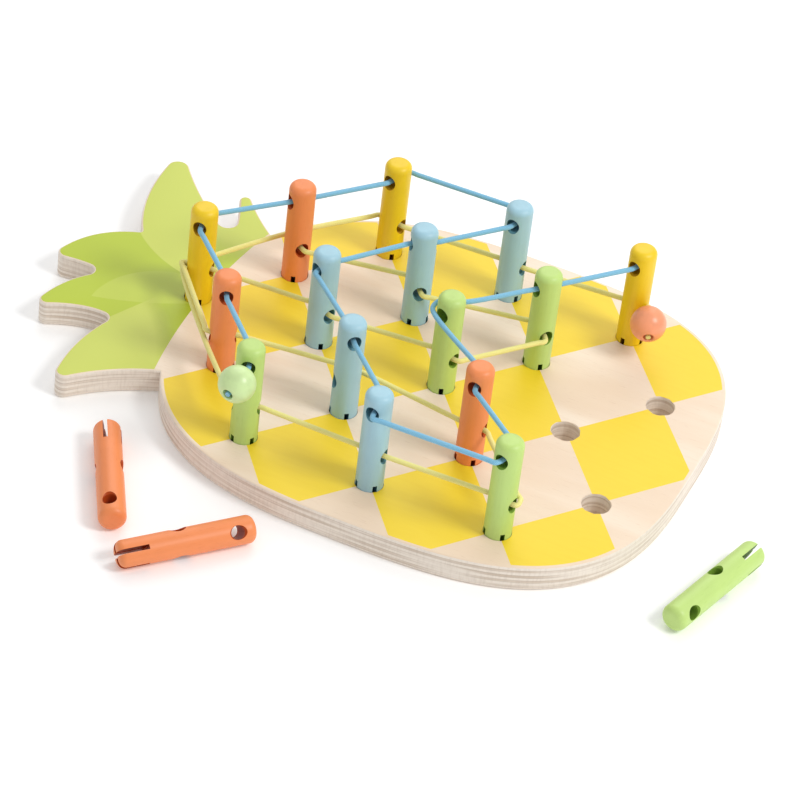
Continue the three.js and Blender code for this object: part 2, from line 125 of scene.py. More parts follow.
class Shader:
    """One material under construction, with short calls for the nodes that the finishes share."""

    def __init__(self, name: str) -> None:
        """Starts an empty material.

        Args:
            name: The material's name.
        """
        self.material = bpy.data.materials.new(name)
        self.material.use_nodes = True
        self.tree = self.material.node_tree
        self.tree.nodes.clear()
        self.surface = self.tree.nodes.new("ShaderNodeBsdfPrincipled")
        out = self.tree.nodes.new("ShaderNodeOutputMaterial")
        self.tree.links.new(self.surface.outputs[0], out.inputs["Surface"])

    def link(self, source: object, target: object) -> None:
        """Joins a socket to a socket, or sets the target's value from a number or colour."""
        if isinstance(source, bpy.types.NodeSocket):
            self.tree.links.new(source, target)
        else:
            target.default_value = source

    def math(self, operation: str, first: object, second: object = 0.0) -> object:
        """One Math node.

        Args:
            operation: Blender's name of the operation.
            first: A socket or a number.
            second: A socket or a number.

        Returns:
            The result's socket.
        """
        node = self.tree.nodes.new("ShaderNodeMath")
        node.operation = operation
        self.link(first, node.inputs[0])
        self.link(second, node.inputs[1])
        return node.outputs[0]

    def plus(self, first: object, second: object) -> object:
        """The sum of two sockets or numbers."""
        return self.math("ADD", first, second)

    def minus(self, first: object, second: object) -> object:
        """The first socket or number less the second."""
        return self.math("SUBTRACT", first, second)

    def times(self, *parts: object) -> object:
        """The product of sockets or numbers. Of masks, it is 1 only where every one is 1."""
        result = parts[0]
        for part in parts[1:]:
            result = self.math("MULTIPLY", result, part)
        return result

    def squares(self, first: object, second: object) -> object:
        """The sum of the squares of two sockets."""
        return self.plus(self.times(first, first), self.times(second, second))

    def in_disc(self, x: object, y: object, disc: Disc, blur: float) -> object:
        """A mask that is 1 inside a disc, and fades out across its edge."""
        reach = self.math("SQRT", self.squares(self.minus(x, disc[0]), self.minus(y, disc[1])))
        return self.ramp(reach, disc[2] + blur, disc[2] - blur, False)

    def mix(self, share: object, first: object, second: object, blend: str = "MIX") -> object:
        """One colour Mix node.

        Args:
            share: How much of the second colour shows, from 0 to 1.
            first: A socket or a colour.
            second: A socket or a colour.
            blend: Blender's name of the blend type.

        Returns:
            The mixed colour's socket.
        """
        node = self.tree.nodes.new("ShaderNodeMix")
        node.data_type = "RGBA"
        node.blend_type = blend
        self.link(share, node.inputs["Factor"])
        self.link(first, node.inputs["A"])
        self.link(second, node.inputs["B"])
        return node.outputs["Result"]

    def ramp(self, value: object, low: float, high: float, smooth: bool = True) -> object:
        """Rises from 0 where value is low to 1 where it is high.

        Args:
            value: A socket.
            low: Where the result leaves 0.
            high: Where the result reaches 1, which may be less than low.
            smooth: Whether the rise is eased at both ends.

        Returns:
            The result's socket.
        """
        node = self.tree.nodes.new("ShaderNodeMapRange")
        node.interpolation_type = "SMOOTHSTEP" if smooth else "LINEAR"
        self.link(value, node.inputs["Value"])
        node.inputs["From Min"].default_value = low
        node.inputs["From Max"].default_value = high
        return node.outputs["Result"]

    def scaled(self, vector: object, factors: Sequence[float]) -> object:
        """A Mapping node that stretches or squeezes a pattern's coordinates along each axis."""
        node = self.tree.nodes.new("ShaderNodeMapping")
        self.link(vector, node.inputs["Vector"])
        node.inputs["Scale"].default_value = factors
        return node.outputs["Vector"]

    def noise(self, vector: object, scale: float, detail: float = 3, roughness: float = 0.5) -> object:
        """A Noise Texture's value, about 0.5 on average."""
        node = self.tree.nodes.new("ShaderNodeTexNoise")
        self.link(vector, node.inputs["Vector"])
        node.inputs["Scale"].default_value = scale
        node.inputs["Detail"].default_value = detail
        node.inputs["Roughness"].default_value = roughness
        return node.outputs["Fac"]

    def streaks(
        self,
        vector: object,
        factors: Sequence[float],
        detail: float = 2,
        roughness: float = 0.5,
        scale: float = 1.0,
    ) -> object:
        """A Noise Texture that is stretched or squeezed along each axis.

        Args:
            vector: The pattern's coordinates.
            factors: How fine the noise is along each axis, which is lower along the streaks.
            detail: How many finer layers the noise has.
            roughness: How strong the finer layers are.
            scale: How fine the noise is all round.

        Returns:
            The noise's value, about 0.5 on average.
        """
        return self.noise(self.scaled(vector, factors), scale, detail, roughness)

    def object_place(self) -> object:
        """The piece's own Object coordinates."""
        return self.tree.nodes.new("ShaderNodeTexCoord").outputs["Object"]

    def face_normal(self) -> object:
        """The flat face's own direction, without bumps or smooth shading."""
        return self.tree.nodes.new("ShaderNodeNewGeometry").outputs["True Normal"]

    def uv_map(self, name: str) -> object:
        """The coordinates of one of the piece's own UV maps."""
        node = self.tree.nodes.new("ShaderNodeUVMap")
        node.uv_map = name
        return node.outputs["UV"]

    def attribute(self, name: str) -> object:
        """A vector stored on the piece's own mesh."""
        node = self.tree.nodes.new("ShaderNodeAttribute")
        node.attribute_name = name
        return node.outputs["Vector"]

    def axes(self, vector: object) -> tuple[object, object, object]:
        """A vector's three parts."""
        node = self.tree.nodes.new("ShaderNodeSeparateXYZ")
        self.link(vector, node.inputs[0])
        return node.outputs[0], node.outputs[1], node.outputs[2]

    def grey(self, value: object) -> object:
        """A grey that is as bright as a value."""
        node = self.tree.nodes.new("ShaderNodeCombineColor")
        for socket in node.inputs[:3]:
            self.link(value, socket)
        return node.outputs[0]

    def bump(self, height: object, strength: float, distance: float, below: object = None) -> object:
        """A Bump node on a height, on top of another one if it is given."""
        node = self.tree.nodes.new("ShaderNodeBump")
        node.inputs["Strength"].default_value = strength
        node.inputs["Distance"].default_value = distance
        self.link(height, node.inputs["Height"])
        if below is not None:
            self.link(below, node.inputs["Normal"])
        return node.outputs["Normal"]

    def finish(self, colour: object, roughness: object, normal: object = None) -> bpy.types.Material:
        """Joins the results to the surface and returns the material."""
        self.link(colour, self.surface.inputs["Base Color"])
        self.link(roughness, self.surface.inputs["Roughness"])
        if normal is not None:
            self.link(normal, self.surface.inputs["Normal"])
        return self.material


GRAIN = "grain"  # the mesh attribute that holds a piece's own coordinates before it is put in place
GRAIN_STEP = Vector((0.031, 0.017, 0.071))  # how far apart the pegs' stretches of grain are


class Stain(Enum):
    """The colours that the pegs are stained: the side of the grain, and its open pores."""

    YELLOW = ("f1cc18", "dcae0a")
    ORANGE = ("f49056", "e0743c")
    BLUE = ("a5cddc", "88b8c8")
    GREEN = ("bfdc7e", "a0c45c")


INSIDE_SHADE_GAMMA = 1.35  # how much richer and darker the colour is on the walls of holes and slots, as painted shade
INSIDE_PAINTED_SHADE = 0.72  # the share of the colour's light kept on the walls of holes and slots, as painted shade


@dataclass(frozen=True)
class StainedWood:
    """Satin stained beech: one colour, with short darker pores that run along the peg."""

    stain: Stain
    depth: float = 1.0  # the share of the colour kept, which is less on the walls of holes and slots, as painted shade
    roughness: float = 0.42
    cut_shine: float = 0.15
    pore_length: float = 5 * MM
    pore_width: float = 0.35 * MM
    pore_share: float = 0.34
    brightest: float = 1.13
    band_share: float = 0.16
    wash_share: float = 0.12

    @property
    def cut(self) -> bool:
        """Whether this is the wood inside a hole or a slot."""
        return self.depth < 1

    def colours(self) -> list[Colour]:
        """The wood's base colour and its pores' colour. On the walls of holes and slots they change places
        and are darkened, as painted shade.
        """
        codes = self.stain.value[::-1] if self.cut else self.stain.value
        return [dimmed(code, self.depth, INSIDE_SHADE_GAMMA if self.cut else 1.0) for code in codes]

    def material(self) -> bpy.types.Material:
        """Builds the stain's material."""
        shader = Shader(f"{'bored_shaded' if self.cut else 'stained'}_wood_{self.stain.name.lower()}")
        if self.cut:
            shader.surface.inputs["Specular IOR Level"].default_value = self.cut_shine
        base, pore = self.colours()
        place = shader.attribute(GRAIN)
        fineness = (1 / self.pore_width, 1 / self.pore_width, 1 / self.pore_length)
        pores = shader.ramp(shader.streaks(place, fineness, roughness=0.6), 0.60, 0.74)
        bands = shader.streaks(place, (260, 260, 22))
        wash = shader.noise(place, 90, 3, 0.55)
        colour = shader.mix(shader.times(pores, self.pore_share), base, pore)
        tone = shader.plus(shader.times(bands, self.band_share), shader.times(wash, self.wash_share))
        colour = shader.mix(1.0, colour, shader.grey(shader.minus(self.brightest, tone)), "MULTIPLY")
        rough = shader.plus(self.roughness, shader.times(pores, 0.15))
        normal = shader.bump(shader.minus(1.0, pores), 0.25, 0.06 * MM)
        normal = shader.bump(bands, 0.12, 0.1 * MM, normal)
        return shader.finish(colour, rough, normal)


class Paint(Enum):
    """The colours that the beads are painted."""

    GREEN = "d4edaa"
    ORANGE = "fda47a"


@dataclass(frozen=True)
class BeadPaint:
    """Satin paint over a turned wooden bead, with the turning marks just showing."""

    paint: Paint
    roughness: float = 0.33
    shade: float = 0.86  # how much light the darker patches of the paint send back

    def material(self) -> bpy.types.Material:
        """Builds the paint's material."""
        shader = Shader(f"bead_paint_{self.paint.name.lower()}")
        place = shader.attribute(GRAIN)
        rings = shader.streaks(place, (60, 60, 900))
        wash = shader.noise(place, 160, 3)
        dark = dimmed(self.paint.value, self.shade)
        colour = shader.mix(shader.ramp(wash, 0.35, 0.75), linear(self.paint.value), dark)
        normal = shader.bump(rings, 0.12, 0.05 * MM)
        return shader.finish(colour, self.roughness, normal)


class Yarn(Enum):
    """The laces' colours: the strands' crowns, and the darker gaps between them, where the shade is
    painted.
    """

    BLUE = ("96cee9", "60aacf")
    YELLOW = ("fbf4a0", "e6da78")


LACE_UV = "lace"  # the UV map along a lace: millimetres along it, and turns round it


@dataclass(frozen=True)
class Braid:
    """A round braid of strands that cross over each other in two directions."""

    yarn: Yarn
    strands: int = 8
    pitch: float = 4.6  # millimetres along the lace for one turn of a strand
    roughness: float = 0.8
    sheen: float = 0.25

    def material(self) -> bpy.types.Material:
        """Builds the braid's material."""
        shader = Shader(f"braid_{self.yarn.name.lower()}")
        crown, gap_shade = (linear(code) for code in self.yarn.value)
        place = shader.uv_map(LACE_UV)
        along, around, _ = shader.axes(place)
        turn = 2 * math.pi
        lift = shader.times(along, turn / self.pitch)
        sweep = shader.times(around, turn)
        half = self.strands / 2
        right = shader.times(shader.plus(sweep, lift), half)
        left = shader.times(shader.minus(sweep, lift), half)
        over = shader.times(shader.math("SINE", right), shader.math("SINE", left))
        height = shader.math("ABSOLUTE", over)
        fuzz = shader.noise(place, 9, 3)
        # The gaps between strands are painted darker, as the shade in the braid's creases.
        colour = shader.mix(shader.ramp(height, 0.05, 0.55), gap_shade, crown)
        colour = shader.mix(shader.times(shader.ramp(fuzz, 0.45, 0.8), 0.2), colour, gap_shade)
        normal = shader.bump(height, 0.5, 0.12 * MM)
        shader.surface.inputs["Sheen Weight"].default_value = self.sheen
        return shader.finish(colour, self.roughness, normal)


PRINT_BLUR = 0.25  # millimetres that a printed edge fades, each way


@dataclass(frozen=True)
class Lens:
    """A leaf's shape: the overlap of two discs, each given by three points on its rim, in millimetres."""

    first: tuple[Place, Place, Place]
    second: tuple[Place, Place, Place]
    blur: float = PRINT_BLUR  # how far the second disc's edge fades, each way

    @staticmethod
    def disc(a: Place, b: Place, c: Place) -> Disc:
        """The disc whose rim goes through three points."""
        d = 2 * (a[0] * (b[1] - c[1]) + b[0] * (c[1] - a[1]) + c[0] * (a[1] - b[1]))
        squares = [p[0] ** 2 + p[1] ** 2 for p in (a, b, c)]
        x = (squares[0] * (b[1] - c[1]) + squares[1] * (c[1] - a[1]) + squares[2] * (a[1] - b[1])) / d
        y = (squares[0] * (c[0] - b[0]) + squares[1] * (a[0] - c[0]) + squares[2] * (b[0] - a[0])) / d
        return x, y, math.hypot(a[0] - x, a[1] - y)

    def mask(self, shader: Shader, x: object, y: object) -> object:
        """A mask that is 1 inside both discs."""
        return shader.times(
            shader.in_disc(x, y, self.disc(*self.first), PRINT_BLUR),
            shader.in_disc(x, y, self.disc(*self.second), self.blur),
        )


@dataclass(frozen=True)
class Shade:
    """A soft darker patch on the crown, partly the print's own shading and partly painted shadow of the
    pegs: an ellipse, in millimetres.
    """

    middle: Place
    half: Place
    weight: float

    def mask(self, shader: Shader, x: object, y: object) -> object:
        """A mask that rises to the patch's weight in its middle."""
        across = shader.times(shader.minus(x, self.middle[0]), 1 / self.half[0])
        up = shader.times(shader.minus(y, self.middle[1]), 1 / self.half[1])
        return shader.times(shader.ramp(shader.squares(across, up), 1.3, 0.0), self.weight)


@dataclass(frozen=True)
class PrintedPlywood:
    """Birch plywood: pale rotary-cut face, banded edges, and a two-colour print on the top face."""

    wood: str = "f6e5d1"
    wood_dark: str = "ebd3b9"
    wood_pore: str = "c29f7e"
    ply_pale: str = "f0e5d8"
    ply_dark: str = "d0beab"
    ply_pore: str = "b5a18d"
    glue: str = "a28f7e"
    yellow: str = "f4d42c"
    yellow_deep: str = "eecb1e"
    leaf: str = "b7c92e"
    leaf_light: str = "cad45c"
    leaf_middle: str = "c1d04a"
    # The darker green of the patches at the leaves' root: partly the print's own shading, partly painted
    # shadow of the pegs.
    leaf_shade_and_peg_shadow: str = "9dad34"
    plies: int = 9
    margin: float = 1.6 * MM
    print_depth: float = 0.04  # millimetres below the top that the print still counts as on it
    crown_root: float = 116.0  # millimetres from the middle hole to the crown's print
    crown_bow: float = 4 / 50**2  # how much nearer it starts, by the square of the way across
    upright_leaf: Lens = Lens(((-180, 72), (-160, 27), (-134, 12)), ((-180, 98), (-136, 57), (-126, 10)))
    front_leaf: Lens = Lens(
        ((-158, -62), (-144.5, -33), (-135, -13)), ((-137, -11), (-119, -30), (-107, -56)), 4.5
    )
    middle_leaf: Lens = Lens(
        ((-158, -24), (-152, -3), (-134, 10)), ((-158, -24), (-147, -20.5), (-132, -14))
    )
    small_leaf_from: float = -142
    small_leaf_fade: Place = (30, 46)
    # Where that darker green lies: partly the print's own shading, partly painted shadow of the pegs
    # nearby.
    root_shade_and_peg_shadow: Shade = Shade((-129, 3), (21, 14), 0.75)
    edge_shade_and_peg_shadow: Shade = Shade((-120, -22), (9, 30), 0.5)

    def face(self, shader: Shader, place: object) -> tuple[object, object]:
        """The face veneer: long soft figure along X, with fine pores.

        Args:
            shader: The board's material.
            place: The board's own coordinates.

        Returns:
            The veneer's colour, and the streaks that its relief follows.
        """
        figure = shader.ramp(shader.streaks(place, (5, 24, 24), 3, scale=1.6), 0.32, 0.72)
        streak = shader.streaks(place, (26, 420, 420), 3, 0.55)
        pores = shader.ramp(shader.streaks(place, (180, 2600, 2600), 1), 0.66, 0.76)
        dark = linear(self.wood_dark)
        wood = shader.mix(figure, linear(self.wood), dark)
        wood = shader.mix(shader.times(shader.ramp(streak, 0.4, 0.8), 0.35), wood, dark)
        return shader.mix(shader.times(pores, 0.25), wood, linear(self.wood_pore)), streak

    def edge(self, shader: Shader, place: object, z: object) -> tuple[object, object]:
        """The edge: plies of pale face grain and darker end grain, a little uneven along the cut.

        Args:
            shader: The board's material.
            place: The board's own coordinates.
            z: The height in millimetres.

        Returns:
            The edge's colour, and a mask of its glue lines.
        """
        waver = shader.times(shader.noise(place, 45, 2), 0.25)
        level = shader.times(shader.plus(z, waver), self.plies / (BOARD_THICKNESS / MM))
        ply = shader.math("FLOORED_MODULO", shader.math("FLOOR", level), 2.0)
        within = shader.math("FRACT", level)
        glue = shader.math("MAXIMUM", shader.ramp(within, 0.12, 0.0), shader.ramp(within, 0.88, 1.0))
        end_grain = shader.ramp(shader.streaks(place, (900, 900, 200)), 0.4, 0.75)
        uneven = shader.ramp(shader.streaks(place, (28, 28, 650)), 0.3, 0.7)
        edge = shader.mix(shader.times(ply, uneven), linear(self.ply_pale), linear(self.ply_dark))
        edge = shader.mix(shader.times(end_grain, 0.2), edge, linear(self.ply_pore))
        seam = shader.times(glue, shader.times(uneven, 0.6))
        return shader.mix(seam, edge, linear(self.glue)), glue

    def fruit_mask(self, shader: Shader, x: object, y: object) -> object:
        """A mask that is 1 on the fruit, inside the strip that is left bare along its edge."""
        across = shader.minus(y, FRUIT_SHIFT / MM)
        to_foot = shader.math("GREATER_THAN", x, 0.0)
        to_high = shader.math("GREATER_THAN", across, 0.0)
        power: object = 0.0
        for (foot, high), value in QUARTER_POWERS.items():
            along_side = to_foot if foot else shader.minus(1.0, to_foot)
            across_side = to_high if high else shader.minus(1.0, to_high)
            power = shader.plus(power, shader.times(along_side, across_side, value))
        reach = []
        for part, half in ((x, HALF_LENGTH), (across, HALF_WIDTH)):
            share = shader.times(shader.math("ABSOLUTE", part), MM / (half - self.margin))
            reach.append(shader.math("POWER", share, power))
        return shader.math("LESS_THAN", shader.plus(*reach), 1.0)

    def diamonds(self, shader: Shader, x: object, y: object) -> object:
        """A mask that is 1 on every other diamond between the rows of peg holes."""
        along = shader.times(x, MM / ALONG_STEP)
        across = shader.times(y, MM / ACROSS_STEP)
        rising = shader.math("FLOOR", shader.times(shader.plus(along, across), 0.5))
        falling = shader.math("FLOOR", shader.times(shader.minus(along, across), 0.5))
        odd = shader.math("FLOORED_MODULO", shader.plus(rising, falling), 2.0)
        return shader.math("LESS_THAN", odd, 0.5)

    def crown_colour(self, shader: Shader, x: object, y: object) -> object:
        """The crown's green print, with its lighter leaves, and darker patches at their root that are
        partly the print's own shading and partly painted shadow of the pegs.
        """
        # The darker patches: the print's own shading, with painted shadow of the pegs over it.
        shade = shader.math(
            "MAXIMUM", self.root_shade_and_peg_shadow.mask(shader, x, y), self.edge_shade_and_peg_shadow.mask(shader, x, y)
        )
        light = linear(self.leaf_light)
        middle = self.middle_leaf.mask(shader, x, y)
        colour = shader.mix(middle, linear(self.leaf), linear(self.leaf_middle))
        colour = shader.mix(shade, colour, linear(self.leaf_shade_and_peg_shadow))
        # The small leaf beside the upright one lightens towards its tip.
        beside = shader.math("GREATER_THAN", x, self.small_leaf_from)
        colour = shader.mix(shader.times(shader.ramp(y, *self.small_leaf_fade), beside), colour, light)
        for leaf in (self.upright_leaf, self.front_leaf):
            colour = shader.mix(leaf.mask(shader, x, y), colour, light)
        return colour

    def material(self) -> bpy.types.Material:
        """Builds the plywood's material."""
        shader = Shader("printed_plywood")
        place = shader.object_place()
        x, y, z = (shader.times(part, 1 / MM) for part in shader.axes(place))
        wood, streak = self.face(shader, place)
        edge, glue = self.edge(shader, place, z)
        level = shader.math("ABSOLUTE", shader.axes(shader.face_normal())[2])
        colour = shader.mix(shader.ramp(level, 0.55, 0.75, False), edge, wood)

        # The print on the top face.
        bow = shader.times(shader.times(y, y), self.crown_bow)
        crown = shader.math("LESS_THAN", x, shader.minus(bow, self.crown_root))
        fruit = shader.times(self.fruit_mask(shader, x, y), shader.minus(1.0, crown))
        on_top = shader.math("GREATER_THAN", z, BOARD_THICKNESS / MM - self.print_depth)
        in_fruit = shader.times(fruit, self.diamonds(shader, x, y), on_top)
        in_crown = shader.times(crown, on_top)
        ink = shader.ramp(shader.streaks(place, (60, 500, 500), 3), 0.35, 0.8)
        yellow = shader.mix(shader.times(ink, 0.3), linear(self.yellow), linear(self.yellow_deep))
        colour = shader.mix(in_fruit, colour, yellow)
        colour = shader.mix(in_crown, colour, self.crown_colour(shader, x, y))

        # Ink is a little smoother than wood, and glue lines lie lower than the plies.
        printed = shader.math("MAXIMUM", in_fruit, in_crown)
        rough = shader.minus(0.58, shader.times(printed, 0.12))
        normal = shader.bump(shader.minus(streak, glue), 0.18, 0.12 * MM)
        normal = shader.bump(printed, 0.5, 0.02 * MM, normal)
        return shader.finish(colour, rough, normal)


@dataclass(frozen=True)
class PaleFloor:
    """The plain pale floor that the toy stands on."""

    colour: str = "fafafa"
    lift: float = 0.1  # a little light of its own, as a backlit sheet has
    roughness: float = 0.75

    def material(self) -> bpy.types.Material:
        """Builds the floor's material."""
        shader = Shader("pale_floor")
        shader.surface.inputs["Emission Color"].default_value = (1, 1, 1, 1)
        shader.surface.inputs["Emission Strength"].default_value = self.lift
        return shader.finish(linear(self.colour), self.roughness)


# ---- Mesh building ------------------------------------------------------------------------------


def mesh_object(
    name: str, vertices: Iterable, faces: Iterable, material: bpy.types.Material
) -> bpy.types.Object:
    """Makes an object at the origin, with its place in its mesh.

    Args:
        name: The piece's name.
        vertices: Points in metres.
        faces: Lists of point numbers, counter-clockwise from outside.
        material: The piece's finish.

    Returns:
        The new object.
    """
    mesh = bpy.data.meshes.new(name)
    mesh.from_pydata([tuple(v) for v in vertices], [], [tuple(f) for f in faces])
    mesh.update()
    mesh.materials.append(material)
    made = bpy.data.objects.new(name, mesh)
    bpy.context.collection.objects.link(made)
    return made


def smooth(piece: bpy.types.Object, degrees: float) -> None:
    """Shades a piece smooth, with a crease wherever two faces meet at more than an angle."""
    piece.data.shade_smooth()
    piece.data.set_sharp_from_angle(angle=math.radians(degrees))


def circle(radius: float, height: float, sides: int) -> list[Corner]:
    """Points round the Z axis, counter-clockwise from above."""
    turns = [2 * math.pi * n / sides for n in range(sides)]
    return [(radius * math.cos(turn), radius * math.sin(turn), height) for turn in turns]


def quarter_turns(steps: int) -> list[float]:
    """Angles from 0 to a quarter turn, in equal steps."""
    return [math.pi / 2 * n / steps for n in range(steps + 1)]


def add_ring(vertices: list[Corner], ring: Iterable[Corner]) -> list[int]:
    """Adds a ring of points to a mesh's vertices, and returns their numbers."""
    start = len(vertices)
    vertices.extend(ring)
    return list(range(start, len(vertices)))


def ring_faces(first: Sequence[int], second: Sequence[int]) -> list[list[int]]:
    """Quads between two closed rings of the same count, facing out when the second is above."""
    count = len(first)
    return [[first[n], first[(n + 1) % count], second[(n + 1) % count], second[n]] for n in range(count)]


def store_grain(piece: bpy.types.Object, shift: Vector) -> None:
    """Stores each point's place on the mesh before the piece is moved, for patterns that follow it."""
    attribute = piece.data.attributes.new(GRAIN, "FLOAT_VECTOR", "POINT")
    for vertex, entry in zip(piece.data.vertices, attribute.data):
        entry.vector = vertex.co + shift


ON_AXIS = 1e-7  # a radius that is too small for a ring


@dataclass
class Lathe:
    """A shape turned about Z from a profile of (radius, height) points."""

    name: str
    profile: list[tuple[float, float]]
    sides: int
    closed: bool = False

    def build(self, material: bpy.types.Material) -> bpy.types.Object:
        """Turns the profile.

        Args:
            material: The piece's finish.

        Returns:
            The turned object. Ends on the axis are closed to one point each.
        """
        vertices: list[Corner] = []
        rings: list[list[int]] = []
        for radius, height in self.profile:
            points = [(0.0, 0.0, height)] if radius < ON_AXIS else circle(radius, height, self.sides)
            rings.append(add_ring(vertices, points))
        faces: list[list[int]] = []
        pairs = list(zip(rings, rings[1:])) + ([(rings[-1], rings[0])] if self.closed else [])
        for low, high in pairs:
            if len(low) == 1:
                faces += [[low[0], high[(n + 1) % self.sides], high[n]] for n in range(self.sides)]
            elif len(high) == 1:
                faces += [[low[n], low[(n + 1) % self.sides], high[0]] for n in range(self.sides)]
            else:
                faces += ring_faces(low, high)
        return mesh_object(self.name, vertices, faces, material)


# ---- Board --------------------------------------------------------------------------------------


@dataclass
class CrownCorner:
    """A leaf's tip or a notch: a circle, and the point that the side before it bends towards.

    Places are in millimetres outwards from the fruit's crown end. A notch's radius is negative.
    """

    via: Place
    centre: Place
    radius: float


@dataclass(frozen=True)
class PegHole:
    """A blind hole in the board, which a peg's foot nearly closes when it is filled."""

    x: float
    y: float
    filled: bool
    filled_gap: float = 0.14 * MM
    filled_chamfer: float = 0.12 * MM
    empty_gap: float = 0.3 * MM
    empty_chamfer: float = 0.3 * MM

    @property
    def radius(self) -> float:
        """The hole's radius."""
        return PEG_RADIUS + (self.filled_gap if self.filled else self.empty_gap)

    @property
    def chamfer(self) -> float:
        """How far the hole's rim is broken."""
        return self.filled_chamfer if self.filled else self.empty_chamfer


@dataclass
class Board:
    """The plywood pineapple: its outline, rounded edges and blind peg holes."""

    node: str = "pineapple_board"
    edge_round: float = 1 * MM
    edge_steps: int = 4
    hole_floor: float = PEG_FOOT - 0.3 * MM
    hole_sides: int = 48
    fruit_steps: int = 220
    side_steps: int = 18
    arc_step: float = 12
    root_low: float = -54 * MM
    root_high: float = 56 * MM
    last_via: Place = (-3, 65)
    corners: list[CrownCorner] = field(
        default_factory=lambda: [
            CrownCorner((-11, -62.5), (-27.3, -75), 4),
            CrownCorner((-34.5, -55), (-31.5, -35), -3.6),
            CrownCorner((-41.5, -30.5), (-57.1, -35.3), 3.6),
            CrownCorner((-58, -20), (-52.5, -8.3), -3.6),
            CrownCorner((-57.5, -4.5), (-65.3, -1.2), 4.3),
            CrownCorner((-64, 20), (-45.3, 29.2), -1),
            CrownCorner((-57, 50), (-51.8, 80.3), 5.2),
            CrownCorner((-34.5, 66.5), (-14.3, 55.8), -4.3),
            CrownCorner((-12.5, 64), (-14.3, 74.3), 2.8),
        ]
    )

    def fruit_point(self, angle: float) -> Vector:
        """The fruit's outline at an angle: an ellipse, with each quarter squared off by its own power."""
        along, across = math.cos(angle), math.sin(angle)
        power = QUARTER_POWERS[along > 0, across > 0]
        x, y = (math.copysign(abs(part) ** (2 / power), part) for part in (along, across))
        return Vector((HALF_LENGTH * x, FRUIT_SHIFT + HALF_WIDTH * y))

    def crown_end_angle(self, y: float) -> float:
        """The angle at which the outline's crown end is at y."""
        reach = (y - FRUIT_SHIFT) / HALF_WIDTH
        power = QUARTER_POWERS[False, reach > 0]
        return math.pi - math.copysign(math.asin(abs(reach) ** (power / 2)), reach)

    @staticmethod
    def bend(start: Vector, via: Vector, end: Vector, share: float) -> Vector:
        """A point on a quadratic curve."""
        return start * (1 - share) ** 2 + via * (2 * share * (1 - share)) + end * share**2

    @staticmethod
    def tangent(via: Vector, corner: CrownCorner, centre: Vector, side: int) -> Vector:
        """Where a straight line from a point touches a corner's circle.

        Args:
            via: The point.
            corner: The corner.
            centre: The centre of its circle.
            side: 1 if the outline runs into the corner, -1 if it runs out of it.

        Returns:
            The point of contact.
        """
        reach = centre - via
        radius = corner.radius * MM
        lean = side * math.asin(radius / reach.length)
        along = Matrix.Rotation(lean, 2) @ reach.normalized()
        return via + along * math.sqrt(reach.length_squared - radius**2)

    def arc(self, start: Vector, centre: Vector, end: Vector, turn: int) -> list[Vector]:
        """The points round a corner's circle, between its two sides.

        Args:
            start: Where the side before it touches the circle.
            centre: The circle's centre.
            end: Where the side after it touches the circle.
            turn: 1 at a tip, which the outline rounds clockwise, and -1 at a notch.

        Returns:
            The points between start and end.
        """
        first, last = (math.atan2(*(point - centre).yx) for point in (start, end))
        sweep = ((last - first) * -turn) % (2 * math.pi) * -turn
        steps = max(2, round(abs(math.degrees(sweep)) / self.arc_step))
        arm = start - centre
        return [centre + Matrix.Rotation(sweep * n / steps, 2) @ arm for n in range(1, steps)]

    def outline(self) -> list[Vector]:
        """The board's outline, counter-clockwise from above."""
        start = self.crown_end_angle(self.root_low) - 2 * math.pi
        end = self.crown_end_angle(self.root_high)
        shares = [n / self.fruit_steps for n in range(self.fruit_steps + 1)]
        fruit = [self.fruit_point(start + (end - start) * share) for share in shares]
        shift = Vector((-HALF_LENGTH, 0))
        places = [*(corner.via for corner in self.corners), self.last_via]
        vias = [Vector(place) * MM + shift for place in places]
        shares = [n / self.side_steps for n in range(1, self.side_steps + 1)]
        crown: list[Vector] = []
        here = fruit[0]
        for corner, before, after in zip(self.corners, vias, vias[1:]):
            centre = Vector(corner.centre) * MM + shift
            enter = self.tangent(before, corner, centre, 1)
            leave = self.tangent(after, corner, centre, -1)
            crown += [self.bend(here, before, enter, share) for share in shares]
            crown += self.arc(enter, centre, leave, 1 if corner.radius > 0 else -1)
            crown.append(leave)
            here = leave
        crown += [self.bend(here, vias[-1], fruit[-1], share) for share in shares[:-1]]
        return fruit + crown[::-1]

    @staticmethod
    def inset(loop: list[Vector], depth: float) -> list[Vector]:
        """An outline moved inwards by a depth."""
        moved = []
        count = len(loop)
        for n, point in enumerate(loop):
            before = (point - loop[n - 1]).normalized()
            after = (loop[(n + 1) % count] - point).normalized()
            normal = Vector((-before.y, before.x)) + Vector((-after.y, after.x))
            normal.normalize()
            stretch = max(0.5, normal.dot(Vector((-before.y, before.x))))
            moved.append(point + normal * (depth / stretch))
        return moved

    def bore(self, hole: PegHole, vertices: list[Corner], faces: list[list[int]]) -> list[int]:
        """Adds a hole's floor, wall and broken rim.

        Args:
            hole: The hole.
            vertices: The board's points, which the hole's are added to.
            faces: The board's faces, which the hole's are added to.

        Returns:
            The numbers of the rim's points.
        """
        rings = []
        for radius, height in (
            (hole.radius, self.hole_floor),
            (hole.radius, BOARD_THICKNESS - hole.chamfer),
            (hole.radius + hole.chamfer, BOARD_THICKNESS),
        ):
            ring = circle(radius, height, self.hole_sides)
            rings.append(add_ring(vertices, [(hole.x + x, hole.y + y, z) for x, y, z in ring]))
        faces.append(rings[0])
        for low, high in zip(rings, rings[1:]):
            faces += [face[::-1] for face in ring_faces(low, high)]
        return rings[-1]

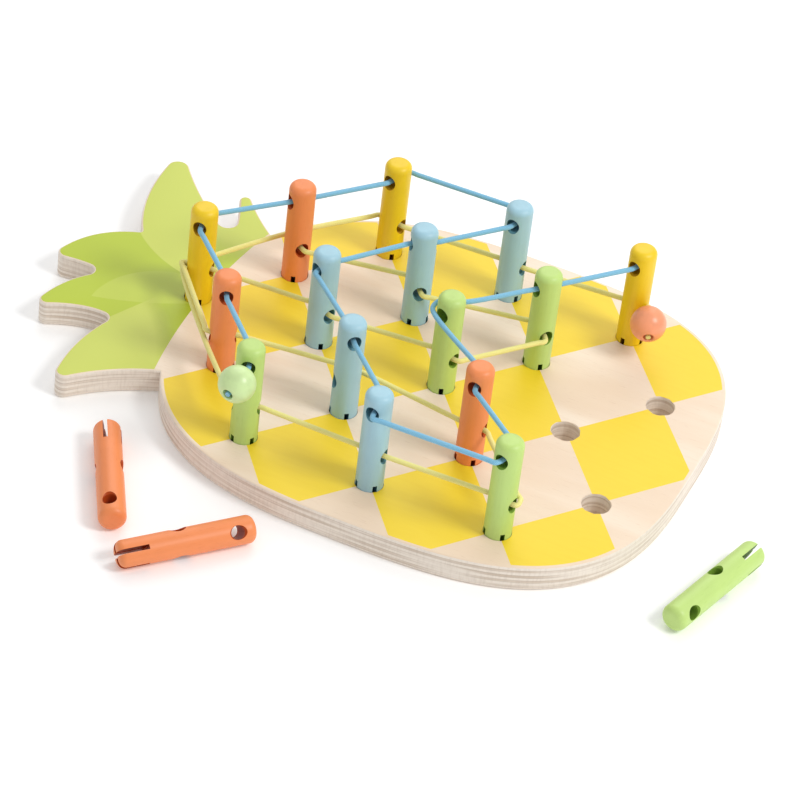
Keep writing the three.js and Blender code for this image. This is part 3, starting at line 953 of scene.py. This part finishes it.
    @staticmethod
    def top(vertices: list[Corner], rings: list[list[int]], holes: list[PegHole]) -> list[list[int]]:
        """The flat top face, in triangles that leave the holes open.

        Args:
            vertices: The board's points.
            rings: The numbers of the points round the face's outside and round each hole.
            holes: The holes.

        Returns:
            The triangles.
        """
        flat = [number for ring in rings for number in ring]
        place_of = {number: n for n, number in enumerate(flat)}
        edges = [
            (place_of[number], place_of[ring[(n + 1) % len(ring)]])
            for ring in rings
            for n, number in enumerate(ring)
        ]
        # The triangles are found in millimetres, which suits the search's own limit on closeness.
        points = [Vector(vertices[number][:2]) * 1000 for number in flat]
        made = delaunay_2d_cdt(points, edges, [], 2, 1e-6)
        origin = [source[0] for source in made[3]]
        triangles = []
        for triangle in made[2]:
            corners = [flat[origin[n]] for n in triangle]
            a, b, c = (Vector(vertices[n][:2]) for n in corners)
            middle = (a + b + c) / 3
            if any((middle - Vector((hole.x, hole.y))).length < hole.radius for hole in holes):
                continue
            turned = (b - a).cross(c - a) < 0
            triangles.append(corners[::-1] if turned else corners)
        return triangles

    def build(self, holes: list[PegHole], finish: PrintedPlywood) -> bpy.types.Object:
        """Builds the board.

        Args:
            holes: The peg holes.
            finish: The board's finish.

        Returns:
            The board's object, riding on the board's body.
        """
        loop = self.outline()
        turns = quarter_turns(self.edge_steps)
        levels = [(self.edge_round * (1 - math.sin(a)), self.edge_round * (1 - math.cos(a))) for a in turns]
        levels += [(depth, BOARD_THICKNESS - height) for depth, height in reversed(levels)]
        vertices: list[Corner] = []
        rings = [
            add_ring(vertices, [(p.x, p.y, height) for p in self.inset(loop, depth)])
            for depth, height in levels
        ]
        faces = [face for low, high in zip(rings, rings[1:]) for face in ring_faces(low, high)]
        faces.append(rings[0][::-1])
        rims = [self.bore(hole, vertices, faces) for hole in holes]
        faces += self.top(vertices, [rings[-1], *rims], holes)
        board = mesh_object("printed_board", vertices, faces, finish.material())
        smooth(board, 30)
        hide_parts(self.node)
        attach(board, "board")
        return board


# ---- Pegs ---------------------------------------------------------------------------------------


@dataclass
class Peg:
    """A round peg with two cross holes at right angles and two crossed saw cuts in its foot."""

    node: str
    stain: Stain
    turn: float
    slot: float
    end_round: float = 3 * MM
    cross_hole_radius: float = 3 * MM
    rim_depth: float = 0.9 * MM
    rim_flare: float = 0.49 * MM
    cutter_reach: float = 2 * MM
    cutter_sides: int = 40
    slot_width: float = 2 * MM
    slot_length: float = 13 * MM
    sides: int = 72
    round_steps: int = 9

    @property
    def axis(self) -> Vector:
        """The point on the underside's level below the peg's middle."""
        low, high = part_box(self.node)
        return Vector(((low[0] + high[0]) / 2, (low[1] + high[1]) / 2, 0))

    def blank(self, material: bpy.types.Material) -> bpy.types.Object:
        """The plain peg, standing on the origin."""
        profile = [(0.0, 0.0)]
        for angle in quarter_turns(self.round_steps):
            reach = PEG_RADIUS - self.end_round * (1 - math.sin(angle))
            profile.append((reach, self.end_round * (1 - math.cos(angle))))
        profile += [(radius, PEG_LENGTH - height) for radius, height in reversed(profile)]
        return Lathe(self.node + "_turned", profile, self.sides).build(material)

    def hole_cutter(self, degrees: float, height: float, material: bpy.types.Material) -> bpy.types.Object:
        """A bar along a level direction, a little wider where it meets the peg's side."""
        half = PEG_RADIUS + self.cutter_reach
        inner = PEG_RADIUS - self.rim_depth
        flared = self.cross_hole_radius + self.rim_flare + self.cutter_reach
        wide = [(0.0, -half), (flared, -half), (self.cross_hole_radius, -inner)]
        profile = wide + [(radius, -along) for radius, along in reversed(wide)]
        cutter = Lathe("hole_cutter", profile, self.cutter_sides).build(material)
        turn = about_z(degrees) @ Matrix.Rotation(math.pi / 2, 4, "Y")
        cutter.data.transform(Matrix.Translation((0, 0, height)) @ turn)
        return cutter

    def slot_cutter(self, degrees: float, material: bpy.types.Material) -> bpy.types.Object:
        """A flat plate through the foot of the peg, along a level direction."""
        long, wide = PEG_RADIUS + self.cutter_reach, self.slot_width / 2
        corners = [
            (x, y, z)
            for z in (-self.cutter_reach, self.slot_length)
            for x, y in ((-long, -wide), (long, -wide), (long, wide), (-long, wide))
        ]
        faces = [[3, 2, 1, 0], [4, 5, 6, 7], *ring_faces([0, 1, 2, 3], [4, 5, 6, 7])]
        cutter = mesh_object("slot_cutter", corners, faces, material)
        cutter.data.transform(about_z(degrees))
        return cutter

    def shape(self, material: bpy.types.Material, inside: bpy.types.Material) -> bpy.types.Object:
        """Cuts the holes and slots, with the peg standing on the origin and its upper hole along X.

        Args:
            material: The peg's finish.
            inside: The finish of the holes' and slots' walls, darkened as painted shade.

        Returns:
            The cut peg, as a plain mesh.
        """
        blank = self.blank(material)
        blank.data.materials.append(inside)
        cutters = [
            self.hole_cutter(0, PEG_LENGTH - UPPER_HOLE_DROP, material),
            self.hole_cutter(90, PEG_LENGTH - LOWER_HOLE_DROP, material),
            self.slot_cutter(self.slot, material),
            self.slot_cutter(self.slot + 90, material),
        ]
        for cutter in cutters:
            cutter.data.materials.append(inside)
            for face in cutter.data.polygons:
                face.material_index = 1
            cut = blank.modifiers.new("cut", "BOOLEAN")
            cut.operation = "DIFFERENCE"
            cut.solver = "EXACT"
            cut.object = cutter
        mesh = bpy.data.meshes.new_from_object(blank.evaluated_get(bpy.context.evaluated_depsgraph_get()))
        peg = bpy.data.objects.new(self.node + "_wood", mesh)
        bpy.context.collection.objects.link(peg)
        for spent in (blank, *cutters):
            bpy.data.objects.remove(spent)
        return peg

    def place(self) -> Matrix:
        """Where the peg stands, and how it is turned."""
        return Matrix.Translation(self.axis + Vector((0, 0, PEG_FOOT))) @ about_z(self.turn)

    def build(
        self, material: bpy.types.Material, inside: bpy.types.Material, number: int
    ) -> bpy.types.Object:
        """Builds the peg in its place.

        Args:
            material: The peg's finish.
            inside: The finish of its holes and slots, darkened as painted shade.
            number: The peg's number, which picks its own stretch of grain.

        Returns:
            The peg's object, riding on its own body.
        """
        peg = self.shape(material, inside)
        store_grain(peg, GRAIN_STEP * (number + 1))
        peg.data.transform(self.place())
        smooth(peg, 32)
        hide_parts(self.node)
        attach(peg, self.node)
        return peg


@dataclass
class LoosePeg(Peg):
    """A peg that lies beside the board. turn is its roll about its own length."""

    points_to: float = 0.0

    def place(self) -> Matrix:
        """Lays the peg on its side, with its top end pointing along its heading."""
        low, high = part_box(self.node)
        middle = Vector(((low[0] + high[0]) / 2, (low[1] + high[1]) / 2, PEG_RADIUS))
        along, up = heading(self.points_to), Vector((0, 0, 1))
        side = along.cross(up)
        laid = Matrix((up, side, along)).transposed().to_4x4()
        centred = Matrix.Translation((0, 0, -PEG_LENGTH / 2))
        return Matrix.Translation(middle) @ laid @ about_z(self.turn) @ centred


# ---- Beads --------------------------------------------------------------------------------------


@dataclass
class Bead:
    """A turned ball with a bore, on the end of a lace."""

    node: str
    paint: Paint
    bore: Vector
    bore_radius: float = 2.3 * MM
    rim: float = 0.5 * MM
    rim_steps: int = 4
    steps: int = 40
    sides: int = 64

    @property
    def middle(self) -> Vector:
        """The bead's centre."""
        low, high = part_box(self.node)
        return (Vector(low) + Vector(high)) / 2

    def build(self) -> bpy.types.Object:
        """Builds the bead in its place, riding on its own body."""
        reach = self.bore_radius + self.rim
        top = math.acos(reach / BEAD_RADIUS)
        profile = []
        for n in range(self.steps + 1):
            angle = -top + 2 * top * n / self.steps
            profile.append((BEAD_RADIUS * math.cos(angle), BEAD_RADIUS * math.sin(angle)))
        mouth = BEAD_RADIUS * math.sin(top)
        upper = [
            (reach - self.rim * math.sin(angle), mouth - self.rim * (1 - math.cos(angle)))
            for angle in quarter_turns(self.rim_steps)[1:]
        ]
        lower = [(radius, -height) for radius, height in reversed(upper)]
        profile += [*upper, (self.bore_radius, 0.0), *lower]
        turned = Lathe(self.node + "_turned", profile, self.sides, closed=True)
        bead = turned.build(BeadPaint(self.paint).material())
        store_grain(bead, Vector((0, 0, 0)))
        turn = Vector((0, 0, 1)).rotation_difference(self.bore.normalized()).to_matrix().to_4x4()
        bead.data.transform(Matrix.Translation(self.middle) @ turn)
        smooth(bead, 50)
        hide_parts(self.node)
        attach(bead, self.node)
        return bead


# ---- Laces --------------------------------------------------------------------------------------


@dataclass
class Through:
    """A stop where the lace goes through a peg's cross hole, in at the mouth that faces a direction."""

    peg: str
    into: float
    sink: float = 0.0


@dataclass
class Round:
    """A stop where the lace passes outside a peg, touching it over some directions."""

    peg: str
    over: list[float]
    sink: float = 0.0


class LaceSweep:
    """The geometry node tree that sweeps a round lace along a path of points."""

    strand_height: float = 0.05 * MM
    seed: int = 7

    def __init__(self) -> None:
        """Builds the tree with a named input for each of the lace's sizes."""
        self.tree = bpy.data.node_groups.new("lace_sweep", "GeometryNodeTree")
        sockets = self.tree.interface
        sockets.new_socket("Geometry", in_out="INPUT", socket_type="NodeSocketGeometry")
        self.inputs = {
            name: sockets.new_socket(name, in_out="INPUT", socket_type=kind).identifier
            for name, kind in (
                ("Lace Radius", "NodeSocketFloat"),
                ("Strand Height", "NodeSocketFloat"),
                ("Sides", "NodeSocketInt"),
                ("Seed", "NodeSocketInt"),
                ("Finish", "NodeSocketMaterial"),
            )
        }
        sockets.new_socket("Geometry", in_out="OUTPUT", socket_type="NodeSocketGeometry")
        add, link = self.tree.nodes.new, self.tree.links.new
        start, end = add("NodeGroupInput"), add("NodeGroupOutput")
        to_curve = add("GeometryNodeMeshToCurve")
        upright = add("GeometryNodeSetCurveNormal")
        upright.mode = "Z_UP"
        circle = add("GeometryNodeCurvePrimitiveCircle")
        sweep = add("GeometryNodeCurveToMesh")
        sweep.inputs["Fill Caps"].default_value = False
        jitter = add("FunctionNodeRandomValue")
        jitter.data_type = "FLOAT"
        normal = add("GeometryNodeInputNormal")
        push = add("ShaderNodeVectorMath")
        push.operation = "SCALE"
        share = add("ShaderNodeMath")
        share.operation = "MULTIPLY"
        shift = add("GeometryNodeSetPosition")
        real = add("GeometryNodeRealizeInstances")
        dress = add("GeometryNodeSetMaterial")
        link(start.outputs["Geometry"], to_curve.inputs[0])
        link(to_curve.outputs[0], upright.inputs["Curve"])
        link(start.outputs["Sides"], circle.inputs["Resolution"])
        link(start.outputs["Lace Radius"], circle.inputs["Radius"])
        link(upright.outputs[0], sweep.inputs["Curve"])
        link(circle.outputs["Curve"], sweep.inputs["Profile Curve"])
        link(start.outputs["Seed"], jitter.inputs["Seed"])
        link(jitter.outputs["Value"], share.inputs[0])
        link(start.outputs["Strand Height"], share.inputs[1])
        link(normal.outputs[0], push.inputs[0])
        link(share.outputs[0], push.inputs["Scale"])
        link(sweep.outputs[0], shift.inputs["Geometry"])
        link(push.outputs[0], shift.inputs["Offset"])
        link(shift.outputs[0], real.inputs[0])
        link(real.outputs[0], dress.inputs["Geometry"])
        link(start.outputs["Finish"], dress.inputs["Material"])
        link(dress.outputs[0], end.inputs[0])

    def run(self, path: list[Vector], sides: int, material: bpy.types.Material) -> list[list[Vector]]:
        """Sweeps a lace along a path.

        Args:
            path: The lace's middle line.
            sides: How many points a ring has.
            material: The lace's finish.

        Returns:
            One ring of points for each point of the path.
        """
        mesh = bpy.data.meshes.new("lace_path")
        mesh.from_pydata([tuple(p) for p in path], [(n, n + 1) for n in range(len(path) - 1)], [])
        holder = bpy.data.objects.new("lace_path", mesh)
        bpy.context.collection.objects.link(holder)
        modifier = holder.modifiers.new("sweep", "NODES")
        modifier.node_group = self.tree
        modifier[self.inputs["Lace Radius"]] = LACE_RADIUS
        modifier[self.inputs["Strand Height"]] = self.strand_height
        modifier[self.inputs["Sides"]] = sides
        modifier[self.inputs["Seed"]] = self.seed
        modifier[self.inputs["Finish"]] = material
        swept = bpy.data.meshes.new_from_object(holder.evaluated_get(bpy.context.evaluated_depsgraph_get()))
        points = [v.co.copy() for v in swept.vertices]
        bpy.data.objects.remove(holder)
        bpy.data.meshes.remove(swept)
        return [points[n : n + sides] for n in range(0, len(points), sides)]


@dataclass
class Lace:
    """One lace, from its bead through the pegs to its far end."""

    node: str
    yarn: Yarn
    bead: Bead
    bead_exit: float
    level: float
    stops: list[Through | Round]
    clearance: float = 0.7 * MM
    wrap_reach: float = PEG_RADIUS + LACE_RADIUS + 0.7 * MM
    rim_reach: float = PEG_RADIUS + 0.4 * MM
    rim_lift: float = 1.2 * MM
    rim_shift: float = 1.5 * MM
    leave: float = 4 * MM
    end_inside: float = 2 * MM
    bead_inset: float = 0.5 * MM
    near_peg: float = 8 * MM
    step: float = 0.8 * MM
    sides: int = 14

    def middle(self, stop: Through | Round) -> Vector:
        """The middle of a stop: the peg's axis, at the level of the lace."""
        low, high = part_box(stop.peg)
        return Vector(((low[0] + high[0]) / 2, (low[1] + high[1]) / 2, self.level - stop.sink))

    def rim(self, at: Vector, out: Vector, towards: Vector) -> Vector:
        """The point at a hole's mouth where the lace turns towards somewhere else.

        Args:
            at: The middle of the hole.
            out: The hole's direction.
            towards: Where the lace goes next.

        Returns:
            The point.
        """
        away = towards - at
        away.z = 0
        away.normalize()
        turn = out.angle(away)
        across = (away - out * away.dot(out)).normalized()
        lift = self.rim_reach + self.rim_lift * (1 - math.cos(turn))
        return at + out * lift + across * (self.rim_shift * math.sin(min(turn, math.pi / 2)))

    def runs(self) -> list[list[Vector]]:
        """The points of each stop: two rims and the middle of a hole, or the wrap round a peg."""
        middles = [self.middle(stop) for stop in self.stops]
        overs = [stop.over if isinstance(stop, Round) else [] for stop in self.stops]
        wraps = [
            [at + heading(degrees) * self.wrap_reach for degrees in over]
            for over, at in zip(overs, middles)
        ]
        found = []
        last = len(self.stops) - 1
        for n, (stop, at) in enumerate(zip(self.stops, middles)):
            if isinstance(stop, Round):
                found.append(wraps[n])
                continue
            out = heading(stop.into)
            run = [at]
            if n > 0:
                run.insert(0, self.rim(at, out, (wraps[n - 1] or [middles[n - 1]])[-1]))
            if n < last:
                run.append(self.rim(at, -out, (wraps[n + 1] or [middles[n + 1]])[0]))
            found.append(run)
        return found

    def stations(self) -> tuple[list[Vector], list[tuple[int, int, int]]]:
        """The lace's own points.

        Returns:
            The points, and the first, middle and last point of each stop.
        """
        bore = self.bead.bore.normalized()
        centre = self.bead.middle
        first = self.stops[0]
        points = [
            centre + bore * (BEAD_RADIUS - self.bead_inset),
            centre - bore * (BEAD_RADIUS + self.bead_exit),
            self.middle(first) + heading(first.into) * (self.rim_reach + self.clearance),
        ]
        runs = self.runs()
        spans = []
        for n, (stop, run) in enumerate(zip(self.stops, runs)):
            through = isinstance(stop, Through)
            if through and n > 0:
                points.append(run[0] + (runs[n - 1][-1] - run[0]).normalized() * self.leave)
            start = len(points)
            spans.append((start, start + (1 if through and n > 0 else 0), start + len(run) - 1))
            points += run
            if through and n < len(runs) - 1:
                points.append(run[-1] + (runs[n + 1][0] - run[-1]).normalized() * self.leave)
        points.append(points[-1] + (points[-1] - points[-2]).normalized() * self.end_inside)
        return points, spans

    def path(self, points: list[Vector]) -> tuple[list[Vector], list[int]]:
        """A smooth curve through the points.

        Args:
            points: The lace's own points.

        Returns:
            The curve's fine points, and which of them each of the lace's own points is.
        """
        fine: list[Vector] = []
        marks: list[int] = []
        for n in range(len(points) - 1):
            p1, p2 = points[n], points[n + 1]
            p0 = points[n - 1] if n > 0 else p1 * 2 - p2
            p3 = points[n + 2] if n + 2 < len(points) else p2 * 2 - p1
            t01, t12, t23 = (math.sqrt((b - a).length) for a, b in ((p0, p1), (p1, p2), (p2, p3)))
            leave = ((p1 - p0) / t01 - (p2 - p0) / (t01 + t12) + (p2 - p1) / t12) * t12
            arrive = ((p2 - p1) / t12 - (p3 - p1) / (t12 + t23) + (p3 - p2) / t23) * t12
            marks.append(len(fine))
            steps = max(2, round((p2 - p1).length / self.step))
            for k in range(steps):
                s = k / steps
                fine.append(
                    p1 * (2 * s**3 - 3 * s**2 + 1)
                    + leave * (s**3 - 2 * s**2 + s)
                    + p2 * (3 * s**2 - 2 * s**3)
                    + arrive * (s**3 - s**2)
                )
        marks.append(len(fine))
        fine.append(points[-1])
        return fine, marks

    def piece(
        self, name: str, rings: list[list[Vector]], reach: list[float], material: bpy.types.Material
    ) -> bpy.types.Object:
        """One stretch of the lace, closed at both ends.

        Args:
            name: The piece's name.
            rings: The stretch's rings of points.
            reach: How far along the lace each ring is.
            material: The lace's finish.

        Returns:
            The stretch's object.
        """
        vertices = [point for ring in rings for point in ring]
        numbers = [list(range(n * self.sides, (n + 1) * self.sides)) for n in range(len(rings))]
        middle = sum(rings[1], Vector()) / self.sides - sum(rings[0], Vector()) / self.sides
        turn = (rings[0][0] - rings[0][self.sides // 2]).cross(rings[0][1] - rings[0][self.sides // 2 + 1])
        outward = turn.dot(middle) > 0
        quads = [face for low, high in zip(numbers, numbers[1:]) for face in ring_faces(low, high)]
        ends = [numbers[0][::-1], numbers[-1]]
        faces = [face if outward else face[::-1] for face in quads + ends]
        made = mesh_object(name, vertices, faces, material)
        layer = made.data.uv_layers.new(name=LACE_UV)
        for polygon in made.data.polygons:
            columns = [made.data.loops[i].vertex_index % self.sides for i in polygon.loop_indices]
            wraps = max(columns) - min(columns) > self.sides / 2
            for i, column in zip(polygon.loop_indices, columns):
                ring = made.data.loops[i].vertex_index // self.sides
                around = (column + self.sides if wraps and column < self.sides / 2 else column) / self.sides
                layer.data[i].uv = (reach[ring] / MM, around)
        smooth(made, 60)
        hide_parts(self.node)
        return made

    def build(self, sweep: LaceSweep) -> list[bpy.types.Object]:
        """Builds the lace in stretches: the two end stretches ride on their pegs, those between pegs on the
        board, and those beside each hole on no body.

        Args:
            sweep: The tree that makes the lace's surface.

        Returns:
            The stretches' objects.
        """
        material = Braid(self.yarn).material()
        points, spans = self.stations()
        fine, marks = self.path(points)
        reach = [0.0]
        for before, after in zip(fine, fine[1:]):
            reach.append(reach[-1] + (after - before).length)
        rings = sweep.run(fine, self.sides, material)
        LOG.info("%s is %.0f mm long", self.node, reach[-1] / MM)
        made = []
        done = 0

        def stretch(first: int, last: int) -> bpy.types.Object:
            """The piece between two of the fine points."""
            name = f"{self.node}_{len(made) + 1}"
            piece = self.piece(name, rings[first : last + 1], reach[first : last + 1], material)
            made.append(piece)
            return piece

        def follow(first: int, last: int, axis: Vector) -> None:
            """A stretch between the board's frame and a peg, left in place on no body."""
            moved, held = sorted((first, last), key=lambda end: (fine[end] - axis).length)
            piece = stretch(first, last)
            toward = fine[moved] - fine[held]
            toward.normalize()
            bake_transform(piece)

        for n, (stop, (start, middle, end)) in enumerate(zip(self.stops, spans)):
            if isinstance(stop, Round):
                continue
            axis = self.middle(stop)
            centre = marks[middle]
            if n == 0:
                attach(stretch(0, centre), stop.peg)
            else:
                before = marks[spans[n - 1][2]]
                wrapped = isinstance(self.stops[n - 1], Round)
                entry = before if wrapped else (before + marks[start]) // 2
                if entry > done:
                    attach(stretch(done, entry), "board")
                follow(entry, centre, axis)
            if n == len(self.stops) - 1:
                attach(stretch(centre, len(fine) - 1), stop.peg)
            else:
                after = marks[spans[n + 1][0]]
                wrapped = isinstance(self.stops[n + 1], Round)
                leave = after if wrapped else (marks[end] + after) // 2
                follow(centre, leave, axis)
                done = leave
        return made


# ---- Studio -------------------------------------------------------------------------------------


@dataclass(frozen=True)
class SoftLight:
    """A square soft light that faces the studio's focus."""

    name: str
    place: tuple[float, float, float]
    size: float
    power: float

    def build(self, focus: Vector) -> bpy.types.Object:
        """Hangs the light in its place, turned to the focus."""
        data = bpy.data.lights.new(self.name, "AREA")
        data.size = self.size
        data.energy = self.power
        light = bpy.data.objects.new(self.name, data)
        bpy.context.collection.objects.link(light)
        light.location = self.place
        light.rotation_euler = (focus - Vector(self.place)).to_track_quat("-Z", "Y").to_euler()
        return light


@dataclass
class Studio:
    """A pale floor, soft lights and the camera."""

    focus: Vector
    right: Vector = field(default_factory=lambda: Vector((0.9058, 0.4125, 0.0963)))
    down: Vector = field(default_factory=lambda: Vector((0.3332, -0.5535, -0.7633)))
    distance: float = 1.667
    lens: float = 173.5
    sensor_width: float = 36
    clip_end: float = 20
    # How far the focus lies right of and above the middle of the view, at its distance.
    off_right: float = 17.65 * MM
    off_up: float = 6.3 * MM
    floor_half: float = 6.0
    floor_drop: float = 0.4 * MM
    sky: float = 0.58
    key: SoftLight = SoftLight("key", (1.15, -0.05, 1.3), 0.5, 14)
    back: SoftLight = SoftLight("back", (-0.45, 1.25, 1.3), 1.5, 11)

    def camera(self) -> bpy.types.Object:
        """The camera, aimed so that the focus is a little right of and above the middle."""
        data = bpy.data.cameras.new("camera")
        data.lens = self.lens
        data.sensor_width = self.sensor_width
        data.clip_end = self.clip_end
        camera = bpy.data.objects.new("camera", data)
        bpy.context.collection.objects.link(camera)
        forward = self.right.cross(self.down).normalized()
        basis = Matrix((self.right, -self.down, -forward)).transposed()
        eye = self.focus - forward * self.distance
        eye = eye - self.right * self.off_right + self.down * self.off_up
        camera.matrix_world = Matrix.Translation(eye) @ basis.to_4x4()
        bpy.context.scene.camera = camera
        return camera

    def floor(self) -> None:
        """A wide floor just below the toy."""
        half = self.floor_half
        corners = [(-half, -half, 0), (half, -half, 0), (half, half, 0), (-half, half, 0)]
        floor = mesh_object("floor", corners, [[0, 1, 2, 3]], PaleFloor().material())
        floor.data.transform(Matrix.Translation((0, 0, -self.floor_drop)))

    def build(self) -> None:
        """Builds the floor, the even light all round, the two lights and the camera."""
        self.floor()
        bpy.context.scene.view_settings.view_transform = "Standard"
        world = bpy.data.worlds.new("studio")
        world.use_nodes = True
        background = world.node_tree.nodes["Background"]
        background.inputs["Color"].default_value = (1, 1, 1, 1)
        background.inputs["Strength"].default_value = self.sky
        bpy.context.scene.world = world
        for light in (self.key, self.back):
            light.build(self.focus)
        self.camera()


# ---- The toy ------------------------------------------------------------------------------------

STANDING = [
    Peg("yellow_peg_1", Stain.YELLOW, -85, 25),
    Peg("orange_peg_1", Stain.ORANGE, -133, 61),
    Peg("yellow_peg_2", Stain.YELLOW, -106, 52),
    Peg("blue_peg_1", Stain.BLUE, -96, -26),
    Peg("orange_peg_2", Stain.ORANGE, -66, -20),
    Peg("blue_peg_2", Stain.BLUE, -116, 60),
    Peg("blue_peg_3", Stain.BLUE, -148, 58),
    Peg("green_peg_1", Stain.GREEN, -132, 80),
    Peg("yellow_peg_3", Stain.YELLOW, -108, 6),
    Peg("green_peg_2", Stain.GREEN, -74, -44),
    Peg("blue_peg_4", Stain.BLUE, -53, 0),
    Peg("green_peg_3", Stain.GREEN, -110, 43),
    Peg("blue_peg_5", Stain.BLUE, -94, 50),
    Peg("orange_peg_3", Stain.ORANGE, -89, 40),
    Peg("green_peg_4", Stain.GREEN, -101, 53),
]

LOOSE = [
    LoosePeg("loose_orange_peg_1", Stain.ORANGE, 12, 1, points_to=-60),
    LoosePeg("loose_orange_peg_2", Stain.ORANGE, 53, -17, points_to=47),
    LoosePeg("loose_green_peg", Stain.GREEN, -68, 48, points_to=-105),
]

EMPTY_HOLES = [
    PegHole(2 * ALONG_STEP, 0.0, False),
    PegHole(3 * ALONG_STEP, ACROSS_STEP, False),
    PegHole(3 * ALONG_STEP, -ACROSS_STEP, False),
]

GREEN_BEAD = Bead("green_bead", Paint.GREEN, Vector((-0.1, -0.985, -0.1)))
ORANGE_BEAD = Bead("orange_bead", Paint.ORANGE, Vector((0.38, -0.88, -0.29)))

LACES = [
    Lace(
        node="blue_lace",
        yarn=Yarn.BLUE,
        bead=GREEN_BEAD,
        bead_exit=-1.5 * MM,
        level=UPPER_LEVEL,
        stops=[
            Through("green_peg_2", -74),
            Through("orange_peg_2", -66),
            Through("yellow_peg_1", -85),
            Through("orange_peg_1", -133),
            Through("yellow_peg_2", -106),
            Through("blue_peg_1", 84),
            Through("blue_peg_3", 32),
            Through("blue_peg_2", 64),
            Through("blue_peg_4", 127),
            Through("blue_peg_5", 86),
            Through("green_peg_4", -101),
            Through("orange_peg_3", -89),
            Round("green_peg_3", [-125, -165, 155, 115, 80]),
            Through("green_peg_1", -132),
            Through("yellow_peg_3", -108),
        ],
    ),
    Lace(
        node="yellow_lace",
        yarn=Yarn.YELLOW,
        bead=ORANGE_BEAD,
        bead_exit=1 * MM,
        level=LOWER_LEVEL,
        stops=[
            Through("yellow_peg_3", -18, -0.8 * MM),
            Through("blue_peg_1", -6),
            Through("yellow_peg_2", -16),
            Round("orange_peg_1", [140]),
            Round("yellow_peg_1", [120, 152, 185, 215], 2.8 * MM),
            Round("orange_peg_2", [215], 2.8 * MM),
            Through("green_peg_2", 196),
            Through("blue_peg_5", 176),
            Through("green_peg_4", 169),
            Round("green_peg_4", [30, 65]),
            Through("orange_peg_3", 1),
            Round("blue_peg_4", [75, 105]),
            Through("orange_peg_2", 24),
            Through("yellow_peg_1", 185),
            Through("blue_peg_2", 154),
            Through("green_peg_3", 160),
            Through("green_peg_1", -42),
            Through("blue_peg_3", -58),
            Through("orange_peg_1", -43),
        ],
    ),
]


def main() -> None:
    """Builds the toy and the studio."""
    logging.basicConfig(level=logging.INFO, format="%(name)s: %(message)s")
    holes = [PegHole(peg.axis.x, peg.axis.y, True) for peg in STANDING] + EMPTY_HOLES
    board = Board().build(holes, PrintedPlywood())
    LOG.info("board: %d faces", len(board.data.polygons))

    # Each stain has its plain finish, and a darker one for the walls of holes and slots, where the shade is
    # painted.
    stains = {
        stain: [StainedWood(stain, depth).material() for depth in (1.0, INSIDE_PAINTED_SHADE)]
        for stain in Stain
    }
    for number, peg in enumerate(STANDING + LOOSE):
        made = peg.build(*stains[peg.stain], number)
        LOG.info("%s: %d faces", made.name, len(made.data.polygons))

    for bead in (GREEN_BEAD, ORANGE_BEAD):
        made = bead.build()
        LOG.info("%s: %d faces", made.name, len(made.data.polygons))

    sweep = LaceSweep()
    for lace in LACES:
        LOG.info("%s: %d stretches", lace.node, len(lace.build(sweep)))

    board_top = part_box("pineapple_board")[1][2]
    Studio(Vector((0, 0, board_top))).build()


if __name__ == "__main__":
    main()
